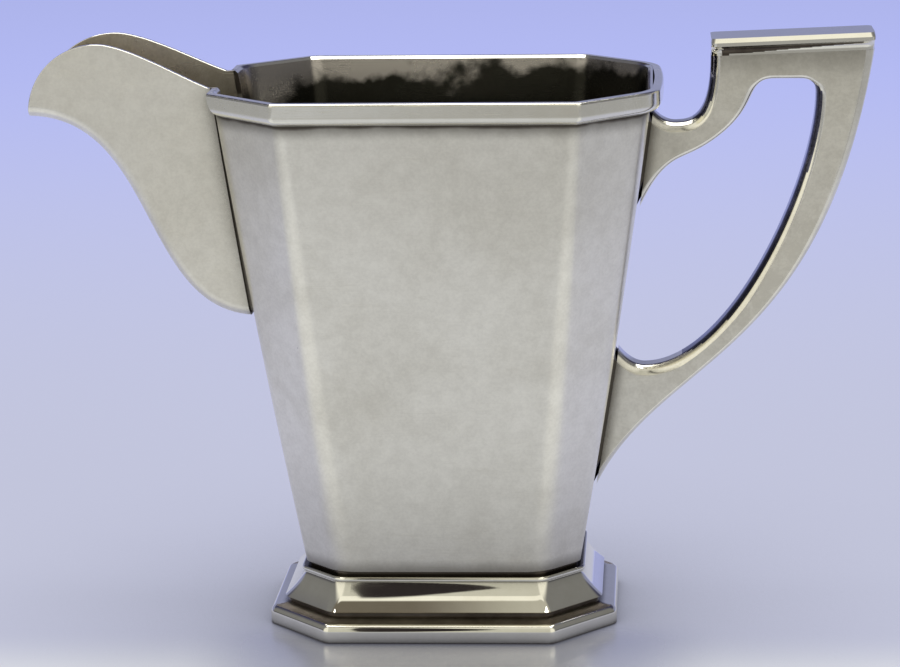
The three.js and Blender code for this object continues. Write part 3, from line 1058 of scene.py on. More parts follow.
@dataclass
class Foot(SubAssembly):
    """Coved pedestal of sheet on a moulded base band. Spreads are from the body's lower edge."""

    body: Body
    spread: float = 6.2
    base_cut: float = 10.5
    neck: float = 0.75
    neck_set: float = 0.45
    bead: float = 0.42
    cove_spread: float = 3.7
    cove_power: float = 1.5
    cove_corner: float = 3.2
    fillet: float = 1.0
    undercut: float = 0.55
    tuck: float = 0.5
    shadow: float = 0.2
    nose: float = 0.15
    sheet: float = 0.9
    flange: float = 3.0
    band_corner: float = 1.5
    band_face: float = 1.9
    band_bead: float = 1.3
    band_height: float = 3.7
    band_dip: float = 0.2
    band_ledge: float = 0.2
    band_edge: float = 0.2
    bright_end: float = 11.0
    steps: int = 10
    nose_steps: int = 4
    flat_steps: int = 36

    def ring(self, out: float, z: float, corner: float) -> Ring:
        """The foot's outline at a spread and height, with a corner radius for its full spread."""
        base = replace(self.body.base, side_radius=corner)
        wide = base.grown(self.spread)
        wide = Section(wide.length, wide.width, self.base_cut, wide.end_radius, corner)
        return base.toward(wide, out / self.spread).ring(z, flat_steps=self.flat_steps)

    def build_pedestal(self) -> Piece:
        """The neck, bead and cove, flanged under the floor and undercut above the base band."""
        top = self.body.base_height
        bead_top = top - self.neck
        cove_top = bead_top - 2 * self.bead
        cove_foot = self.band_height + self.fillet
        back = self.cove_spread - self.undercut
        low, high = self.band_height, cove_foot - self.shadow
        wall = [(back - self.tuck, low), (back, low), (back, high)]
        nose = [
            (self.cove_spread - self.nose * up, cove_foot - self.nose * (1 - across))
            for across, up in quarter_turn(self.nose_steps)
        ]
        cove = [
            (self.bead + (self.cove_spread - self.bead) * t**self.cove_power,
             cove_top + (cove_foot - cove_top) * t)
            for t in np.linspace(0, 1, 3 * self.steps + 1)
        ]
        bead = [
            (self.bead + self.bead * math.sin(a), bead_top - self.bead + self.bead * math.cos(a))
            for a in np.linspace(math.pi, 0, self.steps + 1)
        ]
        neck = [(-self.neck_set, bead_top), (-self.neck_set, top)]
        inner = [(out - self.sheet, min(z, cove_top - self.sheet)) for out, z in cove]
        outside = [*wall, *reversed(nose), *reversed(cove[:-1]), *bead[1:], *neck]
        profile = [*outside, (-self.flange, top), (-self.flange, cove_top), *inner[1:]]
        # The neck and the undercut take the recess coat: tarnish and painted shade.
        dark = [1, 2, len(outside) - 3, len(outside) - 2]
        rings = [self.ring(*place, self.cove_corner) for place in profile]
        return skinned("foot_pedestal_fine", rings, hoop=True, inside=dark)

    def build_band(self) -> Piece:
        """The base band that the jug stands on: a face, a bead and a hollow ledge up to the pedestal."""
        inner = self.cove_spread - self.sheet - self.band_ledge
        bead = [
            (self.spread - self.band_bead * (1 - across), self.band_face + self.band_bead * up)
            for across, up in quarter_turn(self.steps)
        ]
        bead_top = np.array(bead[-3])
        seat = np.array([self.cove_spread - self.undercut, self.band_height])
        middle = (bead_top + seat) / 2 - np.array([0, self.band_dip])
        ledge = [tuple(place) for place in bezier([bead_top, middle, seat], self.steps)[1:]]
        arris = [
            (self.spread - self.band_edge * (1 - up), self.band_edge * (1 - across))
            for across, up in quarter_turn(self.nose_steps)
        ]
        front = [*arris, *bead[:-2]]
        profile = [*front, *ledge, (inner, self.band_height), (inner, 0)]
        # The ledge takes painted shade with tarnish.
        dark = range(len(front) - 1, len(front) + len(ledge) - 1)
        rings = [self.ring(*place, self.band_corner) for place in profile]
        band = skinned("foot_base_band_fine", rings, hoop=True, inside=dark)
        # The ends keep the bright finish; only the long sides' ledge carries the painted shade.
        return coat_faces(band, Coat.OUTSIDE, lambda face: abs(face.center.y) < self.bright_end)


# Finishes


class Wiring:
    """Short calls for wiring one node tree."""

    def __init__(self, tree: Tree) -> None:
        """Takes the tree that the calls add to."""
        self.tree = tree

    def add(
        self, kind: str, feeds: dict[str | int, object] | None = None, **settings: object
    ) -> bpy.types.Node:
        """Adds a node.

        Args:
            kind: node type.
            feeds: plain values or output sockets for its inputs.
            settings: properties of the node.

        Returns:
            The node.
        """
        node = self.tree.nodes.new(kind)
        for name, value in settings.items():
            setattr(node, name, value)
        for name, value in (feeds or {}).items():
            self.feed(node.inputs[name], value)
        return node

    def feed(self, socket: Socket, value: object) -> None:
        """Links an output to an input, or sets the input's plain value."""
        if isinstance(value, Socket):
            self.tree.links.new(value, socket)
        else:
            socket.default_value = value

    def effect(self, tree: Tree, **feeds: object) -> bpy.types.NodeOutputs:
        """The outputs of a shared node group."""
        return self.add("ShaderNodeGroup", feeds, node_tree=tree).outputs

    def axes(self, vector: Socket) -> tuple[Socket, ...]:
        """The x, y and z of a vector."""
        return tuple(self.add("ShaderNodeSeparateXYZ", {0: vector}).outputs)

    def math(self, operation: str, *values: object, clamp: bool = False) -> Socket:
        """The outcome of Math nodes that take up the values one after another."""
        outcome, *others = values
        for value in others or [0.0]:
            node = self.add(
                "ShaderNodeMath", {0: outcome, 1: value}, operation=operation, use_clamp=clamp
            )
            outcome = node.outputs[0]
        return outcome

    def product(self, *values: object) -> Socket:
        """The values multiplied."""
        return self.math("MULTIPLY", *values)

    def total(self, *values: object) -> Socket:
        """The values added up."""
        return self.math("ADD", *values)

    def less(self, value: object, taken: object) -> Socket:
        """A value less another."""
        return self.math("SUBTRACT", value, taken)

    def span(
        self, value: Socket, low: object, high: object, start: object = 0.0, finish: object = 1.0
    ) -> Socket:
        """A value eased from one range to another."""
        node = self.add(
            "ShaderNodeMapRange",
            {"Value": value, "From Min": low, "From Max": high, "To Min": start, "To Max": finish},
            interpolation_type="SMOOTHSTEP",
        )
        return node.outputs[0]

    def tint(self, share: object, first: Socket | Colour, second: Socket | Colour) -> Socket:
        """A colour between two others."""
        ends = [(*end, 1) if isinstance(end, tuple) else end for end in (first, second)]
        return self.add("ShaderNodeMix", {0: share, 6: ends[0], 7: ends[1]}, data_type="RGBA").outputs[2]

    def noise(self, vector: Socket, scale: object, detail: float = 3.0, roughness: float = 0.5) -> Socket:
        """Noise over a vector."""
        feeds = {"Vector": vector, "Scale": scale, "Detail": detail, "Roughness": roughness}
        return self.add("ShaderNodeTexNoise", feeds).outputs["Fac"]

    def stretched(self, vector: Socket, turn: Sequence[float], scale: Sequence[float]) -> Socket:
        """A vector turned by angles in degrees and scaled."""
        angles = [math.radians(angle) for angle in turn]
        feeds = {"Vector": vector, "Rotation": angles, "Scale": list(scale)}
        return self.add("ShaderNodeMapping", feeds).outputs[0]


def fresh_wiring(owner: Material | bpy.types.World) -> Wiring:
    """The wiring of an emptied node tree."""
    owner.use_nodes = True
    owner.node_tree.nodes.clear()
    return Wiring(owner.node_tree)


class EffectGroup(Wiring):
    """A shader node group under construction, with the sockets that it is given."""

    def __init__(self, name: str, *outputs: str, vector: bool = True, **inputs: float) -> None:
        """Starts the group.

        Args:
            name: name of the group.
            outputs: names of the values that it makes.
            vector: whether it is laid over a vector.
            inputs: number inputs with their default values.
        """
        super().__init__(bpy.data.node_groups.new(name, "ShaderNodeTree"))
        sockets = self.tree.interface
        if vector:
            sockets.new_socket(name="Vector", in_out="INPUT", socket_type="NodeSocketVector")
        for label, value in inputs.items():
            socket = sockets.new_socket(name=label, in_out="INPUT", socket_type="NodeSocketFloat")
            socket.default_value = value
        for label in outputs:
            sockets.new_socket(name=label, in_out="OUTPUT", socket_type="NodeSocketFloat")
        self.given = self.add("NodeGroupInput").outputs
        self.made = self.add("NodeGroupOutput").inputs

    def finished(self, **values: Socket) -> Tree:
        """The group's tree, with its outputs fed."""
        for label, value in values.items():
            self.feed(self.made[label], value)
        return self.tree


@dataclass
class WearKit:
    """Wear and painted crease shade that every silver finish shares, each kind as one node group."""

    line_turns: tuple[Triple, ...] = ((20, 35, 0), (-30, 12, 70), (75, -20, 25), (5, 80, -40))
    line_scale: Triple = (30, 900, 900)
    break_scale: Triple = (60, 140, 140)
    break_span: Span = (0.52, 0.62)
    patch_span: Span = (0.38, 0.72)
    mottle_scale: float = 9.0
    mottle_span: Span = (0.3, 0.7)
    speckle_scale: float = 42.0
    speckle_span: Span = (0.35, 0.65)
    upright_turn: Triple = (0, 8, 0)
    upright_scale: Triple = (2600, 2600, 260)
    level_turn: Triple = (0, 78, 15)
    level_scale: Triple = (2200, 2200, 300)
    wave_scale: float = 110.0
    ragged_scale: float = 130.0
    ding_radius: Span = (0.018, 0.055)
    ding_choice: Span = (0.55, 0.7)
    crease_span: Span = (0.97, 0.55)
    wide_shade_reach: float = 4.0
    wide_shade_span: Span = (0.97, 0.45)

    def __post_init__(self) -> None:
        """Builds the groups."""
        self.hairlines = self.make_hairlines()
        self.clouds = self.make_clouds()
        self.grain = self.make_grain()
        self.creases = self.make_creases()
        self.dings = self.make_dings()
        self.levels = self.make_levels()

    def make_dings(self) -> Tree:
        """Small scattered pits and dents."""
        group = EffectGroup("pits and dents", "Mask", Scale=85.0)
        feeds = {"Vector": group.given["Vector"], "Scale": group.given["Scale"]}
        cells = group.add("ShaderNodeTexVoronoi", feeds).outputs
        kind = group.add("ShaderNodeSeparateColor", {0: cells["Color"]}).outputs
        radius = group.span(kind["Green"], 0.0, 1.0, *self.ding_radius)
        spot = group.span(cells["Distance"], 0.0, radius, 1.0, 0.0)
        return group.finished(Mask=group.product(spot, group.span(kind["Red"], *self.ding_choice)))

    def make_hairlines(self) -> Tree:
        """Fine straight scratches that run in several directions and break off."""
        group = EffectGroup("hairline scratches", "Mask", Width=0.02)
        vector = group.given["Vector"]
        parts = []
        for turn in self.line_turns:
            lines = group.noise(group.stretched(vector, turn, self.line_scale), 1.0, detail=1.0)
            distance = group.math("ABSOLUTE", group.less(lines, 0.5))
            line = group.span(distance, 0.0, group.given["Width"], 1.0, 0.0)
            breaks = group.noise(group.stretched(vector, turn, self.break_scale), 1.0, detail=2.0)
            parts.append(group.product(line, group.span(breaks, *self.break_span)))
        return group.finished(Mask=group.math("MAXIMUM", *parts))

    def make_clouds(self) -> Tree:
        """Cloudy patches of tarnish and of uneven polish, from broad to fine."""
        group = EffectGroup("tarnish clouds", "Patches", "Mottle", "Speckle", Scale=45.0)
        vector, scale = group.given["Vector"], group.given["Scale"]
        patches = group.noise(vector, scale, detail=5.0, roughness=0.55)
        fine, finest = (group.product(scale, share) for share in (self.mottle_scale, self.speckle_scale))
        mottle = group.noise(vector, fine, detail=4.0, roughness=0.6)
        speckle = group.noise(vector, finest, detail=2.0, roughness=0.6)
        return group.finished(
            Patches=group.span(patches, *self.patch_span),
            Mottle=group.span(mottle, *self.mottle_span),
            Speckle=group.span(speckle, *self.speckle_span),
        )

    def make_grain(self) -> Tree:
        """Short buffing marks, denser along one direction, and the sheet's slow waves."""
        group = EffectGroup("buffing grain", "Height", "Waves")
        vector = group.given["Vector"]
        upright = group.stretched(vector, self.upright_turn, self.upright_scale)
        level = group.stretched(vector, self.level_turn, self.level_scale)
        marks = [group.noise(run, 1.0, detail=2.0) for run in (upright, level)]
        return group.finished(
            Height=group.product(group.total(*marks), 0.5),
            Waves=group.noise(vector, self.wave_scale, detail=2.0),
        )

    def make_creases(self) -> Tree:
        """Painted shade from ambient occlusion in corners and along joints, standing also for the tarnish
        that polishing leaves there.
        """
        group = EffectGroup("crease shade and tarnish", "Line", "Haze", vector=False, Reach=0.0016)
        reach = group.given["Reach"]
        near, wide = (
            group.add("ShaderNodeAmbientOcclusion", {"Distance": distance}, samples=8).outputs["AO"]
            for distance in (reach, group.product(reach, self.wide_shade_reach))
        )
        return group.finished(
            Line=group.span(near, *self.crease_span),
            Haze=group.span(wide, *self.wide_shade_span),
        )

    def make_levels(self) -> Tree:
        """What comes in from one height to another along a ragged line."""
        group = EffectGroup("ragged level", "Mask", Ragged=0.0, Slope=0.0, Start=0.0, Finish=1.0)
        vector = group.given["Vector"]
        x, _, z = group.axes(vector)
        ragged = group.less(group.noise(vector, self.ragged_scale, detail=4.0), 0.5)
        height = group.total(z, group.product(ragged, group.given["Ragged"]))
        height = group.less(height, group.product(x, group.given["Slope"]))
        return group.finished(Mask=group.span(height, group.given["Start"], group.given["Finish"]))


@dataclass(frozen=True)
class DarkBand:
    """A darkening along a level line, mostly painted shade: the line's height, where it has faded out and
    its strength.
    """

    edge: float
    fade: float
    share: float


@dataclass(frozen=True)
class SilverFinish:
    """A polish of silver: its tints, its gloss, how much wear it shows and how much painted shade it
    carries.
    """

    MOTTLE_SHARE: ClassVar[float] = 0.6
    DING_SHARE: ClassVar[float] = 0.5
    CREASE_ROUGHNESS: ClassVar[float] = 0.06
    SCORE_DEPTH: ClassVar[float] = 0.6
    LIP_RAGGED: ClassVar[float] = 0.015
    LIP_FADE: ClassVar[float] = 0.0015
    DEEP_RAGGED: ClassVar[float] = 0.02
    BAND_RAGGED: ClassVar[float] = 0.0012

    name: str
    tint: Colour
    cloud_tint: Colour
    crease_tint: Colour
    roughness: float
    cloud_roughness: float
    scratch_roughness: float
    cloud_share: float
    crease_share: float
    wide_shade_share: float
    crease_reach: float
    grain_height: float
    scratch_width: float
    scratch_share: float
    wave_height: float
    speckle_share: float
    lip_tint: Colour | None = None
    lip_height: float = 0.0
    lip_slope: float = 0.0
    deep_tint: Colour | None = None
    deep_heights: Span = (0.0, 0.0)
    darkening: tuple[DarkBand, ...] = ()

    def material(self, kit: WearKit) -> Material:
        """The finish as a material."""
        material = bpy.data.materials.new(self.name)
        wiring = fresh_wiring(material)
        place = wiring.add("ShaderNodeTexCoord").outputs["Object"]
        clouds = wiring.effect(kit.clouds, Vector=place)
        grain = wiring.effect(kit.grain, Vector=place)
        scratches = wiring.effect(kit.hairlines, Vector=place, Width=self.scratch_width)["Mask"]
        crease = self.crease(wiring, kit, place)

        colour = self.metal_tint(wiring, kit, place, clouds)
        colour = wiring.tint(wiring.product(scratches, self.scratch_share), colour, self.cloud_tint)
        # Painted shade: crease, band and pit darkening, partly tarnish, mixed into the colour.
        colour = wiring.tint(crease, colour, self.crease_tint)
        gloss = wiring.total(wiring.product(clouds["Patches"], self.cloud_roughness), self.roughness)
        gloss = wiring.total(gloss, wiring.product(scratches, self.scratch_roughness))
        gloss = wiring.math("ADD", gloss, wiring.product(crease, self.CREASE_ROUGHNESS), clamp=True)

        waves = {"Height": grain["Waves"], "Distance": self.wave_height, "Strength": 1.0}
        waved = wiring.add("ShaderNodeBump", waves).outputs[0]
        relief = wiring.less(grain["Height"], wiring.product(scratches, self.SCORE_DEPTH))
        marks = {"Height": relief, "Distance": self.grain_height, "Strength": 1.0, "Normal": waved}
        normal = wiring.add("ShaderNodeBump", marks).outputs[0]
        silver = {"Base Color": colour, "Roughness": gloss, "Metallic": 1.0, "Normal": normal}
        shader = wiring.add("ShaderNodeBsdfPrincipled", silver)
        wiring.add("ShaderNodeOutputMaterial", {"Surface": shader.outputs[0]})
        return material

    def metal_tint(
        self, wiring: Wiring, kit: WearKit, place: Socket, clouds: bpy.types.NodeOutputs
    ) -> Socket:
        """The silver's colour under its clouds, with a painted light strip below the brim and another tint
        lower down, where the finish gives them.
        """
        mottle = wiring.product(clouds["Mottle"], self.MOTTLE_SHARE)
        speckle = wiring.product(clouds["Speckle"], self.speckle_share)
        stain = wiring.product(wiring.total(clouds["Patches"], mottle, speckle), self.cloud_share)
        colour = wiring.tint(stain, self.tint, self.cloud_tint)
        if self.lip_tint is not None:
            near_lip = wiring.effect(
                kit.levels,
                Vector=place,
                Ragged=self.LIP_RAGGED,
                Slope=self.lip_slope,
                Start=self.lip_height - self.LIP_FADE,
                Finish=self.lip_height + self.LIP_FADE,
            )
            colour = wiring.tint(near_lip["Mask"], colour, self.lip_tint)
        if self.deep_tint is not None:
            start, finish = self.deep_heights
            higher = wiring.effect(
                kit.levels, Vector=place, Ragged=self.DEEP_RAGGED, Start=start, Finish=finish
            )
            colour = wiring.tint(higher["Mask"], self.deep_tint, colour)
        return colour

    def crease(self, wiring: Wiring, kit: WearKit, place: Socket) -> Socket:
        """How dark the metal is: painted shade and tarnish in creases, tarnish in pits, and level bands of
        mostly painted shade.
        """
        creases = wiring.effect(kit.creases, Reach=self.crease_reach)
        shares = [
            wiring.product(creases["Line"], self.crease_share),
            wiring.product(creases["Haze"], self.wide_shade_share),
            wiring.product(wiring.effect(kit.dings, Vector=place)["Mask"], self.DING_SHARE),
        ]
        for band in self.darkening:
            darkening = wiring.effect(
                kit.levels, Vector=place, Ragged=self.BAND_RAGGED, Start=band.fade, Finish=band.edge
            )
            shares.append(wiring.product(darkening["Mask"], band.share))
        return wiring.math("MAXIMUM", *shares)


# A finish's crease and wide shade shares set how much painted crease shade, partly tarnish, darkens it.
SATIN = SilverFinish(
    name="satin silver",
    tint=(0.935, 0.905, 0.79),
    cloud_tint=(0.72, 0.69, 0.59),
    crease_tint=(0.07, 0.058, 0.045),
    roughness=0.30,
    cloud_roughness=0.08,
    scratch_roughness=0.10,
    cloud_share=0.5,
    crease_share=0.95,
    wide_shade_share=0.4,
    crease_reach=0.0022,
    grain_height=0.000004,
    scratch_width=0.012,
    scratch_share=0.25,
    wave_height=0.00002,
    speckle_share=0.4,
)

BRIGHT = SilverFinish(
    name="bright silver",
    tint=(0.92, 0.895, 0.78),
    cloud_tint=(0.80, 0.77, 0.64),
    crease_tint=(0.05, 0.04, 0.03),
    roughness=0.055,
    cloud_roughness=0.04,
    scratch_roughness=0.14,
    cloud_share=0.4,
    crease_share=0.95,
    wide_shade_share=0.25,
    crease_reach=0.0016,
    grain_height=0.0000002,
    scratch_width=0.012,
    scratch_share=0.5,
    wave_height=0.000006,
    speckle_share=0.0,
)

# Painted shade: a dark band under the rim's overhang and a darker band up from the body's lower edge.
PANELS = replace(
    SATIN,
    name="satin panels",
    darkening=(
        DarkBand(0.0882, 0.0870, 0.98),
        DarkBand(0.0885, 0.0855, 0.75),
        DarkBand(0.0104, 0.0138, 0.62),
        DarkBand(0.0104, 0.0360, 0.10),
    ),
)

# Painted shade: the base band darkens over its bottom 3 mm, next to the floor.
FOOT = replace(
    BRIGHT,
    name="bright foot",
    roughness=0.015,
    cloud_roughness=0.012,
    scratch_roughness=0.04,
    grain_height=0.00000001,
    wave_height=0.0000025,
    darkening=(DarkBand(0.0, 0.0030, 0.5),),
)

RIM = replace(BRIGHT, name="bright rim", roughness=0.15, cloud_roughness=0.06)

# Its bluish crease tint and strong wide shade share paint dark shade along the handle's rounded edges.
BURNISHED = replace(
    SATIN,
    name="burnished edges",
    crease_tint=(0.03, 0.03, 0.055),
    roughness=0.10,
    cloud_roughness=0.05,
    wide_shade_share=0.75,
    grain_height=0.0000005,
)

# Painted reflection: the handle's left-facing sides take a dark navy tint for the dark room that they
# mirror.
SHADED = replace(
    BURNISHED,
    name="left-facing sides in painted dark reflection",
    tint=(0.17, 0.17, 0.24),
    cloud_tint=(0.05, 0.05, 0.075),
    cloud_share=0.8,
)

# Painted shade: a wide crease reach darkens the cheeks beside the rim's ends and along the joint with the
# body.
POURER = replace(SATIN, name="satin spout", wide_shade_share=0.25, crease_reach=0.0045)

# Painted shade under the thumb rest and along the body joints; the second band darkens the handle towards
# its lower end.
GRIP = replace(
    SATIN,
    name="satin handle",
    cloud_share=0.7,
    wide_shade_share=0.25,
    crease_reach=0.004,
    darkening=(DarkBand(0.0970, 0.0900, 0.5), DarkBand(0.034, 0.066, 0.16)),
)

# Tarnish and painted shade: the foot's neck and undercut are darkened.
RECESS = replace(
    BRIGHT,
    name="recesses in tarnish and painted shade",
    tint=(0.30, 0.26, 0.20),
    cloud_tint=(0.10, 0.083, 0.06),
    roughness=0.16,
    cloud_share=0.8,
)

# Painted shade and tarnish on the base band's hollow ledge.
LEDGE = replace(
    RECESS,
    name="ledge in painted shade and tarnish",
    tint=(0.50, 0.43, 0.33),
    cloud_tint=(0.24, 0.20, 0.15),
    roughness=0.36,
    crease_share=0.35,
    wide_shade_share=0.0,
)

# Painted shade and tarnish in the cove under the thumb rest.
GROOVE = replace(
    RECESS, name="groove in painted shade and tarnish", tint=(0.12, 0.10, 0.075), cloud_tint=(0.05, 0.04, 0.03)
)

CHANNEL = replace(
    SATIN,
    name="dulled spout channel",
    tint=(0.84, 0.78, 0.65),
    cloud_tint=(0.60, 0.55, 0.44),
    roughness=0.26,
    cloud_share=0.7,
    wide_shade_share=0.1,
)

# Painted shade: the inside is near black, with a painted lighter strip below the brim and a lighter tint
# below 30 mm.
INSIDE = replace(
    SATIN,
    name="inside in painted shade",
    tint=(0.029, 0.028, 0.022),
    cloud_tint=(0.021, 0.020, 0.015),
    crease_tint=(0.05, 0.045, 0.035),
    roughness=0.22,
    cloud_roughness=0.12,
    cloud_share=0.7,
    wide_shade_share=0.0,
    lip_tint=(0.40, 0.37, 0.33),
    lip_height=0.0893,
    lip_slope=0.09,
    deep_tint=(0.45, 0.425, 0.36),
    deep_heights=(0.030, 0.058),
)

FINISHES = (
    POURER, BRIGHT, INSIDE, CHANNEL, BURNISHED, RECESS, LEDGE, GROOVE, GRIP, SHADED, PANELS, FOOT, RIM
)


# Studio


class Measure(Enum):
    """Measures that a tint can fade along."""

    X = "along the jug"
    Y = "away from the camera"
    Z = "up"
    ASIDE = "off the centre line"
    BEARING = "off the line straight ahead"


Measures = dict[Measure, Socket]


@dataclass(frozen=True)
class Fade:
    """How a patch comes in along a measure, from where it is least to where it is full."""

    measure: Measure
    start: float
    finish: float
    least: float = 0.0

    def share(self, wiring: Wiring, measures: Measures) -> Socket:
        """How far the patch has come in."""
        return wiring.span(measures[self.measure], self.start, self.finish, self.least)


@dataclass(frozen=True)
class Patch:
    """A tint that comes in over others, with further patches laid upon it."""

    tint: Colour
    fades: tuple[Fade, ...] = ()
    upon: tuple["Patch", ...] = ()

    def laid(self, wiring: Wiring, measures: Measures) -> Socket | Colour:
        """The patch's colour with what is laid upon it."""
        colour: Socket | Colour = self.tint
        for patch in self.upon:
            share = wiring.product(1.0, *(fade.share(wiring, measures) for fade in patch.fades))
            colour = wiring.tint(share, colour, patch.laid(wiring, measures))
        return colour


LILAC = (0.39, 0.425, 0.775)

# Painted shadow far in front, mostly to the right, painted light pools to both sides in front and painted
# shade at the floor's far sides; the near and far tints run to the backdrop's lilac.
DIM_FRONT = Patch((0.35, 0.35, 0.36), (Fade(Measure.X, -0.10, -0.03, 0.1), Fade(Measure.Y, -0.13, -0.28)))
FRONT_LIGHT_POOLS = Patch(
    (0.635, 0.65, 0.69),
    (Fade(Measure.BEARING, 0.30, 0.52), Fade(Measure.Y, -0.22, -0.15), Fade(Measure.ASIDE, 0.20, 0.12)),
)
NEAR_FLOOR = Patch((0.445, 0.46, 0.58), (Fade(Measure.Y, -0.045, -0.015),))
FAR_FLOOR = Patch(LILAC, (Fade(Measure.Y, -0.015, 0.75),))
SHADED_FLOOR_SIDES = Patch((0.34, 0.345, 0.37), (Fade(Measure.ASIDE, 0.16, 0.34), Fade(Measure.Y, 0.3, 0.12)))
FLOOR = Patch((0.505, 0.52, 0.57), upon=(DIM_FRONT, FRONT_LIGHT_POOLS, NEAR_FLOOR, FAR_FLOOR, SHADED_FLOOR_SIDES))

IN_FRONT = Fade(Measure.Y, -0.12, -0.45)
UPPER_ROOM = Patch((0.20, 0.20, 0.205), (Fade(Measure.Z, 0.06, 0.22),))
AHEAD_SIDES = Patch((0.95, 0.93, 0.85), (Fade(Measure.ASIDE, 0.13, 0.30),))
AHEAD = Patch((0.62, 0.61, 0.55), (IN_FRONT,), upon=(AHEAD_SIDES,))
MIST = Patch((0.27, 0.29, 0.46), (Fade(Measure.Z, 0.02, 0.14),))
DUSK = Patch((0.05, 0.05, 0.10), (Fade(Measure.Z, 0.33, 0.5),))
BACKDROP = Patch(LILAC, (Fade(Measure.Y, 0.2, 0.6),), upon=(MIST, DUSK))
OVERHEAD_RIGHT = Patch((0.50, 0.485, 0.43), (Fade(Measure.X, -0.09, -0.04),))
OVERHEAD = Patch((0.16, 0.14, 0.115), (Fade(Measure.Z, 0.84, 0.91),), upon=(OVERHEAD_RIGHT,))
SOFTBOX = Patch(
    (0.98, 0.96, 0.88),
    (
        Fade(Measure.Z, 0.845, 0.86),
        Fade(Measure.Z, 0.92, 0.905),
        Fade(Measure.Y, -0.2, -0.3),
        Fade(Measure.ASIDE, 0.4, 0.3),
    ),
)
ROOM = Patch((0.10, 0.10, 0.12), upon=(UPPER_ROOM, AHEAD, BACKDROP, OVERHEAD, SOFTBOX))


